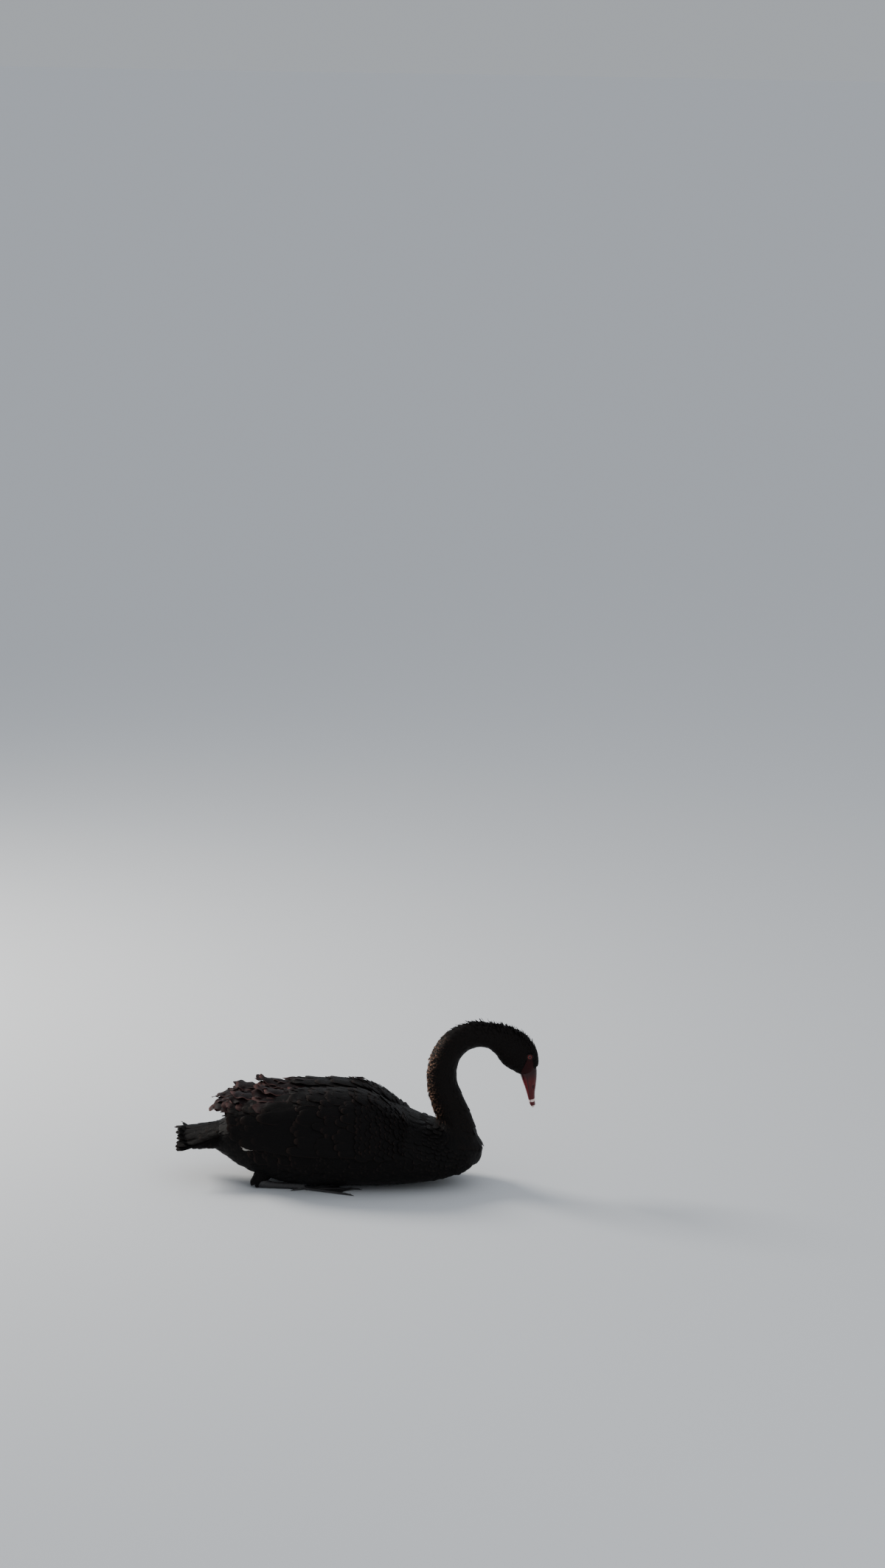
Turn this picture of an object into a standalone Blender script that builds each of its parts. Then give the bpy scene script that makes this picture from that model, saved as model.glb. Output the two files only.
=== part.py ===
"""A black swan afloat, life size, as a still model that rests on its belly.

Metres, +Z up. The bird faces +X and its left side is +Y. The origin is the middle of the flat
under the belly. Afloat, the bird would sink about 60 mm into the water.
"""

import math

import bpy
import numpy as np

# Driving sizes
GAP = 0.0003            # kept between pieces that touch
CUT = 0.00035           # how far a cutter stands off the surface that it copies
TORSO_SIDES = 32
TORSO_RINGS = 28
NECK_SIDES = 18
HEAD_SIDES = 22

# The torso, from its rear end to the breast: place along the body, half width,
# top, bottom and height of the widest line.
TORSO = np.array([
    (-0.238, 0.020, 0.102, 0.072, 0.087),
    (-0.222, 0.040, 0.114, 0.056, 0.088),
    (-0.195, 0.062, 0.131, 0.038, 0.088),
    (-0.150, 0.086, 0.156, 0.016, 0.086),
    (-0.090, 0.106, 0.176, 0.000, 0.082),
    (0.000, 0.118, 0.184, -0.002, 0.078),
    (0.080, 0.113, 0.169, -0.001, 0.075),
    (0.125, 0.105, 0.149, 0.001, 0.072),
    (0.180, 0.092, 0.126, 0.007, 0.069),
    (0.225, 0.075, 0.113, 0.017, 0.067),
    (0.262, 0.052, 0.106, 0.032, 0.067),
    (0.280, 0.030, 0.092, 0.046, 0.068),
])
TORSO_ENDS = (-0.244, 0.287)   # the rear and front poles
BELLY_FULLNESS = 2.4           # exponent of the section below the widest line
BACK_FULLNESS = 2.1            # and above it

# The neck and head, from inside the breast to the root of the bill: place along the body,
# height, half depth in the plane of the curve and half width across it.
SPINE = np.array([
    (0.214, 0.062, 0.056, 0.056),
    (0.226, 0.088, 0.050, 0.051),
    (0.229, 0.112, 0.042, 0.042),
    (0.225, 0.136, 0.0365, 0.0350),
    (0.213, 0.166, 0.0335, 0.0310),
    (0.204, 0.198, 0.0312, 0.0288),
    (0.205, 0.232, 0.0300, 0.0275),
    (0.217, 0.262, 0.0292, 0.0265),
    (0.242, 0.285, 0.0282, 0.0255),
    (0.274, 0.293, 0.0270, 0.0245),
    (0.301, 0.289, 0.0275, 0.0240),
    (0.323, 0.279, 0.0320, 0.0235),
    (0.340, 0.266, 0.0355, 0.0230),
    (0.353, 0.251, 0.0340, 0.0220),
    (0.3615, 0.236, 0.0275, 0.0195),
    (0.3665, 0.222, 0.0190, 0.0165),
])
SPINE_STEPS = 46
HEAD_START = 0.775             # share of the spine where the head begins

# The bill: its root and tip, and along it the rise of the ridge, the drop of the underside
# and the half width.
BILL_ROOT = np.array((0.3668, 0.2215))
BILL_TIP = np.array((0.3775, 0.1515))
BILL = np.array([
    (0.00, 0.0175, 0.0158, 0.0152),
    (0.18, 0.0155, 0.0134, 0.0142),
    (0.40, 0.0118, 0.0100, 0.0128),
    (0.62, 0.0080, 0.0075, 0.0120),
    (0.82, 0.0062, 0.0058, 0.0112),
    (0.93, 0.0052, 0.0040, 0.0085),
    (1.00, 0.0018, 0.0012, 0.0030),
])
MOUTH_LINE = 0.0030            # depth of the mouth line below the bill's middle
BILL_STEPS = 14
BILL_SUNK = -0.08              # its start, behind the root by a share of its length
NOSTRIL_AT = 0.40
EYE = np.array((0.3700, 0.0197, 0.2560))         # on the skin, in the middle of the left eye
EYE_FACING = np.array((0.253, 0.945, 0.205))
EYE_RADIUS = 0.0064
EYE_DEPTH = 0.0050                               # of the ball's middle below the skin
LID_RING = (0.0054, 0.0013)                      # its radius and its thickness
NAIL = (0.955, 0.0036, 0.0052)                   # place along the bill, height and half length

# The folded wing's outer surface, from its wrist to its tip. Each row is a place along the
# body, then the sideways place and height of its upper edge, of the control point of its
# bow, and of its lower edge.
WING = np.array([
    (0.172, 0.024, 0.105, 0.046, 0.114, 0.062, 0.080),
    (0.125, 0.014, 0.146, 0.086, 0.160, 0.108, 0.078),
    (0.080, 0.010, 0.175, 0.104, 0.191, 0.121, 0.077),
    (0.000, 0.008, 0.187, 0.114, 0.208, 0.127, 0.080),
    (-0.080, 0.007, 0.184, 0.107, 0.204, 0.121, 0.089),
    (-0.150, 0.008, 0.172, 0.090, 0.189, 0.103, 0.103),
    (-0.200, 0.010, 0.161, 0.070, 0.176, 0.083, 0.117),
    (-0.235, 0.014, 0.151, 0.055, 0.162, 0.064, 0.136),
])
WING_SPAN = (0.172, -0.235)
WING_CORE = (14, 7)            # its steps along and across
CORE_DEPTH = 0.030             # how far the core reaches in from the outer surface

# The wing's feathers by tier: the place of the roots along, the first and last place across,
# how many, their length, width and rise off the wing, how far the tips bend, and the turn of
# the first and last towards the lower edge. Angles are in degrees.
WING_TIERS = (
    ("primaries", 0.68, 0.90, 0.970, 3, 0.094, 0.021, -1, -3, 3, 10),
    ("secondaries", 0.55, 0.50, 0.94, 5, 0.106, 0.029, 2, -6, -3, -10),
    ("greater_coverts", 0.40, 0.30, 0.93, 6, 0.078, 0.030, 3.5, -8, 0, -4),
    ("median_coverts", 0.22, 0.24, 0.90, 6, 0.068, 0.029, 4, -10, 2, 0),
    ("tertials", 0.66, 0.12, 0.52, 5, 0.092, 0.030, 6, 12, 2, -4),
    ("scapulars", 0.34, 0.12, 0.36, 3, 0.078, 0.032, 4, -10, 2, 0),
    ("rear_scapulars", 0.50, 0.10, 0.40, 4, 0.072, 0.029, 4, -3, 2, 0),
    ("front_scapulars", 0.16, 0.14, 0.34, 3, 0.076, 0.030, 4, -10, 2, 0),
)
# Single ruffled feathers: the root's place along and across, length, width, rise, bend and turn
RUFFLES = (
    (0.630, 0.17, 0.074, 0.030, 57, -106, 0),
    (0.795, 0.26, 0.048, 0.032, 33, -58, -4),
    (0.89, 0.20, 0.048, 0.028, 15, -10, 6),
    (0.90, 0.46, 0.048, 0.026, 9, 14, -6),
    (0.590, 0.18, 0.028, 0.012, 32, -60, 0),
)
LOOSE_ARCH = (0.225, 0.17, 0.060, 0.017, 14, -54, 2)   # one that bows clear of the left wing
VANE_SHARES = (0.0, 0.22, 0.52, 0.82, 0.96, 1.0)      # where its sections lie, root to tip
VANE_WIDTHS = (0.62, 1.0, 0.86, 0.48)                 # and their widths, as shares of the full
VANE_THICKNESS = 0.0016
ROOT_SUNK = 0.0045
CUPPING = 0.10                 # how far a vane's edges dip, as a share of its width
SEED = 8

# The tail: from under the wings to its tip, a place along the body, half width, height of
# the middle of the upper face, how far its sides droop below that, and thickness
TAIL = np.array([
    (-0.195, 0.038, 0.117, 0.008, 0.050),
    (-0.225, 0.045, 0.114, 0.013, 0.048),
    (-0.255, 0.051, 0.109, 0.019, 0.034),
    (-0.284, 0.051, 0.104, 0.023, 0.006),
])
TAIL_RINGS = 9
TAIL_ROWS = 13
TAIL_EDGE = 0.003
# Its feathers by tier: the roots' place along the body, the spread of the roots and of the
# tips to each side, how many, length, width, and the height of the roots off the core
TAIL_TIERS = (
    ("rectrices", -0.215, 0.036, 0.053, 12, 0.094, 0.021, -0.003),
    ("upper_coverts", -0.205, 0.030, 0.042, 7, 0.056, 0.020, -0.001),
)
TAIL_ROOM = 0.0105             # clear height over the tail that the wings leave

# The legs, folded flat below the flanks: the line of the shank and foot from the hock to the
# middle toe's tip, sideways and upward, with half width and thickness, and the toes' spread
LEG = np.array([
    (-0.150, 0.060, 0.0080, 0.0080),
    (-0.138, 0.061, 0.0090, 0.0088),
    (-0.120, 0.063, 0.0065, 0.0066),
    (-0.080, 0.067, 0.0052, 0.0060),
    (-0.055, 0.069, 0.0072, 0.0070),
])
FOOT_KNUCKLE = (-0.057, 0.069)
TOES = ((-21, 0.082), (-2, 0.104), (20, 0.096), (158, 0.022))   # each toe's turn and length
TOE_THICKNESS = 0.0056
WEB_THICKNESS = 0.0020
WEB_HOLLOW = 0.016
CLAW_LENGTH = 0.009

PLUMAGE = (0.012, 0.011, 0.011, 1.0)
BILL_RED = (0.42, 0.012, 0.014, 1.0)
EYE_RED = (0.30, 0.010, 0.008, 1.0)
FOOT_GREY = (0.045, 0.043, 0.044, 1.0)


def clear_scene():
    for thing in list(bpy.data.objects):
        bpy.data.objects.remove(thing)


def material(name, colour, roughness):
    """A plain finish of one colour."""
    made = bpy.data.materials.new(name)
    made.use_nodes = True
    shader = made.node_tree.nodes["Principled BSDF"]
    shader.inputs["Base Color"].default_value = colour
    shader.inputs["Roughness"].default_value = roughness
    shader.inputs["Metallic"].default_value = 0.0
    return made


def eased(at, places, values):
    """A smooth curve through rows of values: a cubic between each two places, with the
    slope at each place taken from its neighbours."""
    slopes = np.gradient(values, places, axis=0)
    at = np.clip(np.atleast_1d(at), places[0], places[-1])
    low = np.clip(np.searchsorted(places, at) - 1, 0, len(places) - 2)
    step = places[low + 1] - places[low]
    t = (at - places[low]) / step
    t, step = t[:, None], step[:, None]
    first, last = values[low], values[low + 1]
    return (
        first * (2 * t**3 - 3 * t**2 + 1)
        + last * (3 * t**2 - 2 * t**3)
        + slopes[low] * step * (t**3 - 2 * t**2 + t)
        + slopes[low + 1] * step * (t**3 - t**2)
    )


def power(value, exponent):
    """A power that keeps the sign."""
    return np.sign(value) * np.abs(value) ** exponent


def closed_rings(rings, start=None, end=None):
    """The points and triangles of a tube of rings, closed at each end by a fan round its
    middle or round a given pole. Each ring runs anticlockwise seen from the tube's end."""
    rings = np.asarray(rings, float)
    count, sides = rings.shape[:2]
    start = rings[0].mean(0) if start is None else np.asarray(start, float)
    end = rings[-1].mean(0) if end is None else np.asarray(end, float)
    points = np.concatenate([rings.reshape(-1, 3), start[None], end[None]])
    first, last = count * sides, count * sides + 1
    faces = []
    for k in range(count - 1):
        for i in range(sides):
            a, b = k * sides + i, k * sides + (i + 1) % sides
            c, d = a + sides, b + sides
            faces += [(a, b, d), (a, d, c)]
    top = (count - 1) * sides
    for i in range(sides):
        j = (i + 1) % sides
        faces += [(j, i, first), (top + i, top + j, last)]
    return points, np.array(faces)


def slab(upper, lower):
    """The points and triangles of a slab between two matching grids, closed by a rim."""
    upper, lower = np.asarray(upper, float), np.asarray(lower, float)
    steps, rows = upper.shape[:2]
    index = np.arange(steps * rows).reshape(steps, rows)
    a, b, c, d = index[:-1, :-1], index[1:, :-1], index[1:, 1:], index[:-1, 1:]
    grid = np.concatenate([np.stack(t, -1).reshape(-1, 3) for t in ((a, b, c), (a, c, d))])
    rim = np.concatenate([index[0], index[1:, -1], index[-1, -2::-1], index[-2:0:-1, 0]])
    after, under = np.roll(rim, -1), steps * rows
    sides = np.concatenate([
        np.stack([rim, after, after + under], 1), np.stack([rim, after + under, rim + under], 1)])
    points = np.concatenate([upper.reshape(-1, 3), lower.reshape(-1, 3)])
    return points, np.concatenate([grid, grid[:, ::-1] + under, sides])


def outward(points, faces):
    """The same triangles, turned round where the body is inside out."""
    corners = points[faces]
    inside_out = np.linalg.det(corners).sum() < 0
    return points, (faces[:, ::-1] if inside_out else faces)


def new_object(name, shape, finish=None):
    points, faces = outward(*shape)
    mesh = bpy.data.meshes.new(name)
    mesh.from_pydata([tuple(p) for p in points], [], [tuple(int(i) for i in f) for f in faces])
    if finish:
        mesh.materials.append(finish)
    made = bpy.data.objects.new(name, mesh)
    bpy.context.scene.collection.objects.link(made)
    return made


def bake_modifiers(thing):
    """Replaces the object's mesh by what its modifiers make of it."""
    graph = bpy.context.evaluated_depsgraph_get()
    made = bpy.data.meshes.new_from_object(thing.evaluated_get(graph))
    finishes = list(thing.data.materials)
    thing.modifiers.clear()
    thing.data = made
    made.materials.clear()
    for finish in finishes:
        made.materials.append(finish)
    keep_largest(thing)


def keep_largest(thing):
    """Leaves only the closed surface that holds the most volume."""
    mesh = thing.data
    mesh.calc_loop_triangles()
    points = np.array([v.co for v in mesh.vertices])
    faces = np.array([t.vertices for t in mesh.loop_triangles])
    group = np.arange(len(points))
    while True:
        lowest = group[faces].min(1)
        after = group.copy()
        for corner in range(3):
            np.minimum.at(after, faces[:, corner], lowest)
        after = after[after]
        if (after == group).all():
            break
        group = after
    volume = np.bincount(group[faces[:, 0]], np.linalg.det(points[faces]), len(points))
    kept = faces[group[faces[:, 0]] == volume.argmax()]
    used = np.unique(kept)
    place = np.zeros(len(points), int)
    place[used] = np.arange(len(used))
    finishes = list(mesh.materials)
    made = bpy.data.meshes.new(thing.name)
    made.from_pydata([tuple(p) for p in points[used]], [], [tuple(int(i) for i in f) for f in place[kept]])
    for finish in finishes:
        made.materials.append(finish)
    thing.data = made


def combined(thing, shapes, operation, solver="MANIFOLD"):
    """Joins closed shapes to an object, or cuts them from it, in one Boolean."""
    group = bpy.data.collections.new("pieces")
    bpy.context.scene.collection.children.link(group)
    pieces = []
    for k, shape in enumerate(shapes):
        piece = new_object(f"piece_{k}", shape)
        bpy.context.scene.collection.objects.unlink(piece)
        group.objects.link(piece)
        pieces.append(piece)
    boolean = thing.modifiers.new("join", "BOOLEAN")
    boolean.operation = operation
    boolean.solver = solver
    boolean.operand_type = "COLLECTION"
    boolean.collection = group
    bake_modifiers(thing)
    for piece in pieces:
        bpy.data.objects.remove(piece)
    bpy.data.collections.remove(group)
    return thing


def soften(thing, degrees=38):
    thing.data.shade_smooth()
    thing.data.set_sharp_from_angle(angle=math.radians(degrees))


def torso_shape(grown=0.0):
    """The body without its wings: rounded sections along the spine, laid flat under the
    belly. A grown copy stands off it all over, for cutting what lies against it."""
    places = TORSO[:, 0]
    middle = (places[0] + places[-1]) / 2
    reach = (places[-1] - places[0]) / 2
    turn = np.linspace(-1, 1, TORSO_RINGS)
    at = middle + reach * (0.65 * turn + 0.35 * np.sin(turn * math.pi / 2))
    rows = eased(at, places, TORSO)
    angle = np.arange(TORSO_SIDES) * 2 * math.pi / TORSO_SIDES
    rings = []
    for x, (_, wide, top, bottom, waist) in zip(at, rows):
        up = np.cos(angle)
        side = np.sin(angle)
        full = np.where(up > 0, 2 / BACK_FULLNESS, 2 / BELLY_FULLNESS)
        rise = np.where(up > 0, top - waist, waist - bottom)
        y = wide * power(side, full)
        z = waist + rise * power(up, full)
        rings.append(np.stack([np.full_like(y, x), y, np.maximum(z, 0.0)], 1))
    poles = [(TORSO_ENDS[0], 0, rows[0, 4]), (TORSO_ENDS[1], 0, rows[-1, 4])]
    points, faces = outward(*closed_rings(rings, *poles))
    return (points + grown * vertex_normals(points, faces), faces) if grown else (points, faces)


def vertex_normals(points, faces):
    corners = points[faces]
    across = np.cross(corners[:, 1] - corners[:, 0], corners[:, 2] - corners[:, 0])
    normals = np.zeros_like(points)
    for k in range(3):
        np.add.at(normals, faces[:, k], across)
    return normals / np.linalg.norm(normals, axis=1, keepdims=True)


def spine_frame(share):
    """The middle, the upward direction within the section, half depth and half width of
    the neck and head at a share of their length, and the way along."""
    steps = np.linalg.norm(np.diff(SPINE[:, :2], axis=0), axis=1)
    places = np.concatenate([[0], np.cumsum(steps)]) / steps.sum()
    rows = eased(share, places, SPINE)
    ahead = eased(np.clip(np.atleast_1d(share) + 0.004, 0, 1), places, SPINE)
    behind = eased(np.clip(np.atleast_1d(share) - 0.004, 0, 1), places, SPINE)
    way = (ahead - behind)[:, :2]
    way /= np.linalg.norm(way, axis=1, keepdims=True)
    return rows, way


def spine_rings(low, high, count, sides, gap_low=0.0):
    """Rounded sections across the neck or head between two shares of its length."""
    rows, way = spine_frame(np.linspace(low, high, count))
    angle = np.arange(sides) * 2 * math.pi / sides
    rings = []
    for (x, z, depth, wide), (ax, az) in zip(rows, way):
        out = depth * np.cos(angle)
        rings.append(np.stack([x - az * out, wide * np.sin(angle), z + ax * out], 1))
    first = np.array((way[0, 0], 0, way[0, 1]))
    rings[0] = rings[0] + first * gap_low
    return rings


def neck(finish, torso_cutter):
    """The neck, out of the breast and over to the back of the head."""
    rings = spine_rings(0.0, HEAD_START, round(SPINE_STEPS * HEAD_START), NECK_SIDES)
    made = new_object("neck", closed_rings(rings), finish)
    soften(combined(made, [torso_cutter], "DIFFERENCE"))


def ball(centre, radius, stretch=(1, 1, 1), sides=14, rows=8):
    """A ball, or an ellipsoid where it is stretched."""
    centre, stretch = np.asarray(centre, float), np.asarray(stretch, float)
    rings = []
    for k in range(1, rows):
        tall = -math.cos(math.pi * k / rows)
        wide = math.sin(math.pi * k / rows)
        angle = np.arange(sides) * 2 * math.pi / sides
        ring = np.stack([wide * np.cos(angle), wide * np.sin(angle), np.full(sides, tall)], 1)
        rings.append(centre + ring * radius * stretch)
    poles = [centre - (0, 0, radius * stretch[2]), centre + (0, 0, radius * stretch[2])]
    return closed_rings(rings, *poles)


def eye_place(side, depth):
    """A point under or on the skin at the middle of an eye, and the way the eye faces."""
    mirror = np.array((1, side, 1))
    return (EYE - EYE_FACING * depth) * mirror, EYE_FACING * mirror


def lid_ring(side):
    """The raised rim of the lids, a ring that lies on the cheek round the eye."""
    around, thick = LID_RING
    centre, facing = eye_place(side, 0.0004)
    along = np.cross(facing, (0, 0, 1))
    along /= np.linalg.norm(along)
    up = np.cross(along, facing)
    turns, sides = 14, 6
    angle = np.arange(turns) * 2 * math.pi / turns
    small = np.arange(sides) * 2 * math.pi / sides
    points = []
    for a in angle:
        out = along * math.cos(a) * 1.12 + up * math.sin(a)
        points += [centre + out * (around + thick * math.cos(b)) + facing * thick * math.sin(b) for b in small]
    index = np.arange(turns * sides).reshape(turns, sides)
    a, b = index, np.roll(index, -1, 1)
    c, d = np.roll(a, -1, 0), np.roll(b, -1, 0)
    faces = [np.stack(t, -1).reshape(-1, 3) for t in ((a, b, d), (a, d, c))]
    return np.array(points), np.concatenate(faces)


def head_shape(grown=0.0):
    points, faces = outward(*closed_rings(spine_rings(HEAD_START, 1.0, 15, HEAD_SIDES, GAP)))
    return points + grown * vertex_normals(points, faces), faces


def head(finish, eye_finish):
    """The head, with its lids and the sockets that hold the eyes."""
    made = new_object("head", head_shape(), finish)
    combined(made, [lid_ring(1), lid_ring(-1)], "UNION")
    sockets = [ball(eye_place(side, EYE_DEPTH)[0], EYE_RADIUS + GAP) for side in (1, -1)]
    combined(made, sockets, "DIFFERENCE")
    soften(made)
    for side, name in ((1, "eye_left"), (-1, "eye_right")):
        soften(new_object(name, ball(eye_place(side, EYE_DEPTH)[0], EYE_RADIUS), eye_finish))


def bill_point(along, rise, across):
    """A point of the bill: its share from root to tip, its height towards the ridge and its
    place across."""
    line = BILL_TIP - BILL_ROOT
    way = line / np.linalg.norm(line)
    up = np.array((-way[1], way[0]))
    place = BILL_ROOT + line * along + up * rise
    return np.array((place[0], across, place[1]))


def mandible(upper):
    """Half of the bill: an arch over the mouth line, or the trough below it. It starts inside
    the head, which is then cut from it."""
    places = BILL[:, 0]
    rings = []
    for along in np.concatenate([[BILL_SUNK], np.linspace(0, 1, BILL_STEPS) ** 0.9]):
        _, ridge, underside, wide = eased(along, places, BILL)[0]
        mouth = -MOUTH_LINE * (1 - along**4) * (1 if along < 0.9 else 0.6)
        if upper:
            angle = np.linspace(-math.pi / 2, math.pi / 2, 9)
            rise = mouth + GAP / 2 + (ridge - mouth) * np.cos(angle) ** 0.8
            across = wide * np.sin(angle)
        else:
            angle = np.linspace(math.pi / 2, -math.pi / 2, 9)
            rise = mouth - GAP / 2 - (underside + mouth) * np.cos(angle) ** 0.7
            across = 0.93 * wide * np.sin(angle)
        shifted = [bill_point(along, r, a) for r, a in zip(rise, across)]
        rings.append(shifted)
    return closed_rings(rings)


def bill(finish):
    """The upper and lower mandibles, with the nail on the tip and a slit for each nostril."""
    ridge = eased(NOSTRIL_AT, BILL[:, 0], BILL)[0, 1]
    upper = new_object("bill_upper", mandible(True), finish)
    place, height, reach = NAIL
    nail = ball(bill_point(place, 0.0016, 0), reach, (height / reach, 0.9, 1), 10, 6)
    combined(upper, [nail], "UNION")
    clear = ball(bill_point(place, 0.0016, 0), reach + GAP, (height / reach, 0.9, 1), 10, 6)
    slits = [ball(bill_point(NOSTRIL_AT, ridge * 0.52, side * 0.0118), 0.0030,
                  (0.55, 0.45, 1.5), 8, 6) for side in (1, -1)]
    combined(upper, [head_shape(CUT), *slits], "DIFFERENCE")
    soften(upper, 50)
    lower = new_object("bill_lower", mandible(False), finish)
    soften(combined(lower, [head_shape(CUT), clear], "DIFFERENCE"), 50)


def wing_place(along, across, lift, side):
    """A point over the folded wing: its share from wrist to tip, its share from the upper to
    the lower edge, and its height off the wing. A quadratic curve bows each section, and
    the surface runs straight on past the last one."""
    along = np.clip(along, 0, None)
    x = WING_SPAN[0] + (WING_SPAN[1] - WING_SPAN[0]) * along

    def surface(x, across):
        inner = max(x, WING_SPAN[1])
        row = eased(-inner, -WING[:, 0], WING)[0]
        if x < inner:
            before = eased(-(inner + 0.01), -WING[:, 0], WING)[0]
            row = row + (row - before) * (inner - x) / 0.01
        (yu, zu), (yc, zc), (yl, zl) = row[1:3], row[3:5], row[5:7]
        p, q, r = (1 - across) ** 2, 2 * across * (1 - across), across**2
        return np.array((x, p * yu + q * yc + r * yl, p * zu + q * zc + r * zl))

    here = surface(x, across)
    forward = surface(x + 0.002, across) - here
    down = surface(x, across + 0.02) - surface(x, across - 0.02)
    normal = np.cross(forward, down)
    normal /= np.linalg.norm(normal)
    if normal[2] + normal[1] < 0:
        normal = -normal
    made = here + normal * lift
    return made * (1, side, 1), normal * (1, side, 1)


def wing_core(side):
    """The flesh and packed feathers under the wing's vanes: the wing's own bow on the outside,
    reaching in towards the body and thinning to all its edges."""
    steps, rows = WING_CORE
    outer, inner = [], []
    for k in range(steps):
        along = k / (steps - 1)
        depth = CORE_DEPTH if along < 0.55 else CORE_DEPTH + (0.013 - CORE_DEPTH) * (along - 0.55) / 0.45
        top, low = [], []
        for i in range(rows):
            across = i / (rows - 1)
            edge = min(1.0, 4 * min(across, 1 - across) + 0.12)
            end = min(1.0, 5 * (1 - along) + 0.2)
            top.append(wing_place(along, across, -0.0030, side)[0])
            low.append(wing_place(along, across, -0.0030 - depth * math.sqrt(edge * end), side)[0])
        outer.append(top)
        inner.append(low)
    return slab(outer, inner)


def vane(root, way, up, length, width, bend, twist=0.0):
    """One feather: a lens-shaped strip along a line that starts off along the way and bends
    towards the upward side, widest at its middle and narrow at the root and the tip."""
    share = np.array(VANE_SHARES)
    spin = math.radians(twist)
    across = np.cross(up, way)
    across = across * math.cos(spin) + up * math.sin(spin)
    up = np.cross(way, across)
    turn = math.radians(bend) * (share[:-1] + share[1:]) / 2
    steps = np.outer(np.cos(turn), way) + np.outer(np.sin(turn), up)
    line = root + np.concatenate([[np.zeros(3)], np.cumsum(steps * np.diff(share)[:, None] * length, 0)])
    rings = []
    for k, size in enumerate(VANE_WIDTHS, 1):
        wide = width / 2 * size
        thick = VANE_THICKNESS / 2 * (1.15 - 0.55 * share[k])
        lift = np.cross(steps[k - 1] + steps[k], across)
        lift /= np.linalg.norm(lift)
        dip = lift * CUPPING * wide
        rings.append([line[k] - across * wide - dip, line[k] + lift * thick,
                      line[k] + across * wide - dip, line[k] - lift * thick])
    return closed_rings(rings, line[0], line[-1])


def wing_vane(side, along, across, length, width, rise, bend, turn):
    """A vane rooted under the wing's surface, heading back and off it by its rise."""
    here, normal = wing_place(along, across, -ROOT_SUNK, side)
    back = wing_place(along + 0.02, across, -ROOT_SUNK, side)[0] - here
    back -= normal * (back @ normal)
    back /= np.linalg.norm(back)
    down = np.cross(normal, back) * side
    if down[2] > 0:
        down = -down
    sweep, climb = math.radians(turn), math.radians(rise)
    way = (back * math.cos(sweep) + down * math.sin(sweep)) * math.cos(climb) + normal * math.sin(climb)
    up = normal * math.cos(climb) - (back * math.cos(sweep) + down * math.sin(sweep)) * math.sin(climb)
    return vane(here, way, up, length, width, bend)


def wing_vanes(side, chance):
    made = []
    for _, along, first, last, count, length, width, rise, bend, turn_a, turn_b in WING_TIERS:
        for k in range(count):
            share = k / (count - 1)
            made.append(wing_vane(
                side, along + chance.uniform(-0.012, 0.012), first + (last - first) * share,
                length * chance.uniform(0.93, 1.07), width * chance.uniform(0.95, 1.08),
                rise + chance.uniform(-1, 1.5), bend + chance.uniform(-3, 5),
                turn_a + (turn_b - turn_a) * share + chance.uniform(-3, 3)))
    for along, across, length, width, rise, bend, turn in RUFFLES:
        made.append(wing_vane(
            side, along + chance.uniform(-0.015, 0.015), across + chance.uniform(-0.02, 0.02), length,
            width, rise + chance.uniform(-4, 4), bend + chance.uniform(-15, 15),
            turn + chance.uniform(-8, 8)))
    if side > 0:
        made.append(wing_vane(side, *LOOSE_ARCH))
    return made


def box(low, high):
    """A box between two corners."""
    points = np.array([(x, y, z) for x in (low[0], high[0]) for y in (low[1], high[1])
                       for z in (low[2], high[2])])
    faces = [(0, 1, 3), (0, 3, 2), (4, 6, 7), (4, 7, 5), (0, 4, 5), (0, 5, 1),
             (2, 3, 7), (2, 7, 6), (0, 2, 6), (0, 6, 4), (1, 5, 7), (1, 7, 3)]
    return points, np.array(faces)


def wing(side, finish, torso_cutter, chance):
    """A folded wing: its core, the tiers of vanes over it, and room for body and tail."""
    name = "wing_left" if side > 0 else "wing_right"
    made = new_object(name, wing_core(side), finish)
    combined(made, wing_vanes(side, chance), "UNION")
    across = (-side * 0.2, side * GAP)
    other_half = box((-0.4, min(across), 0.0), (0.4, max(across), 0.4))
    combined(made, [torso_cutter, tail_room(), other_half], "DIFFERENCE")
    soften(made, 30)


def tail_sheet(rise, depth_more, reach):
    """The tail as one arched blade, raised, thickened and carried on by given amounts."""
    across = np.linspace(-1, 1, TAIL_ROWS)
    upper, lower = [], []
    for x in np.linspace(TAIL[0, 0], TAIL[-1, 0], TAIL_RINGS):
        _, wide, height, droop, thick = eased(-x, -TAIL[:, 0], TAIL)[0]
        further = reach * (x - TAIL[0, 0]) / (TAIL[-1, 0] - TAIL[0, 0])
        depth = TAIL_EDGE + (thick - TAIL_EDGE) * np.sqrt(1 - across**2)
        y = (wide + rise * 0.6) * across
        line = np.stack([np.full_like(y, x - further), y, height + rise - droop * across**2], 1)
        upper.append(line)
        lower.append(line - np.outer(depth + depth_more, (0, 0, 1)))
    return slab(upper, lower)


def tail_room():
    """The space over the tail that the wings stay out of."""
    return tail_sheet(TAIL_ROOM, TAIL_ROOM, 0.04)


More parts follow.
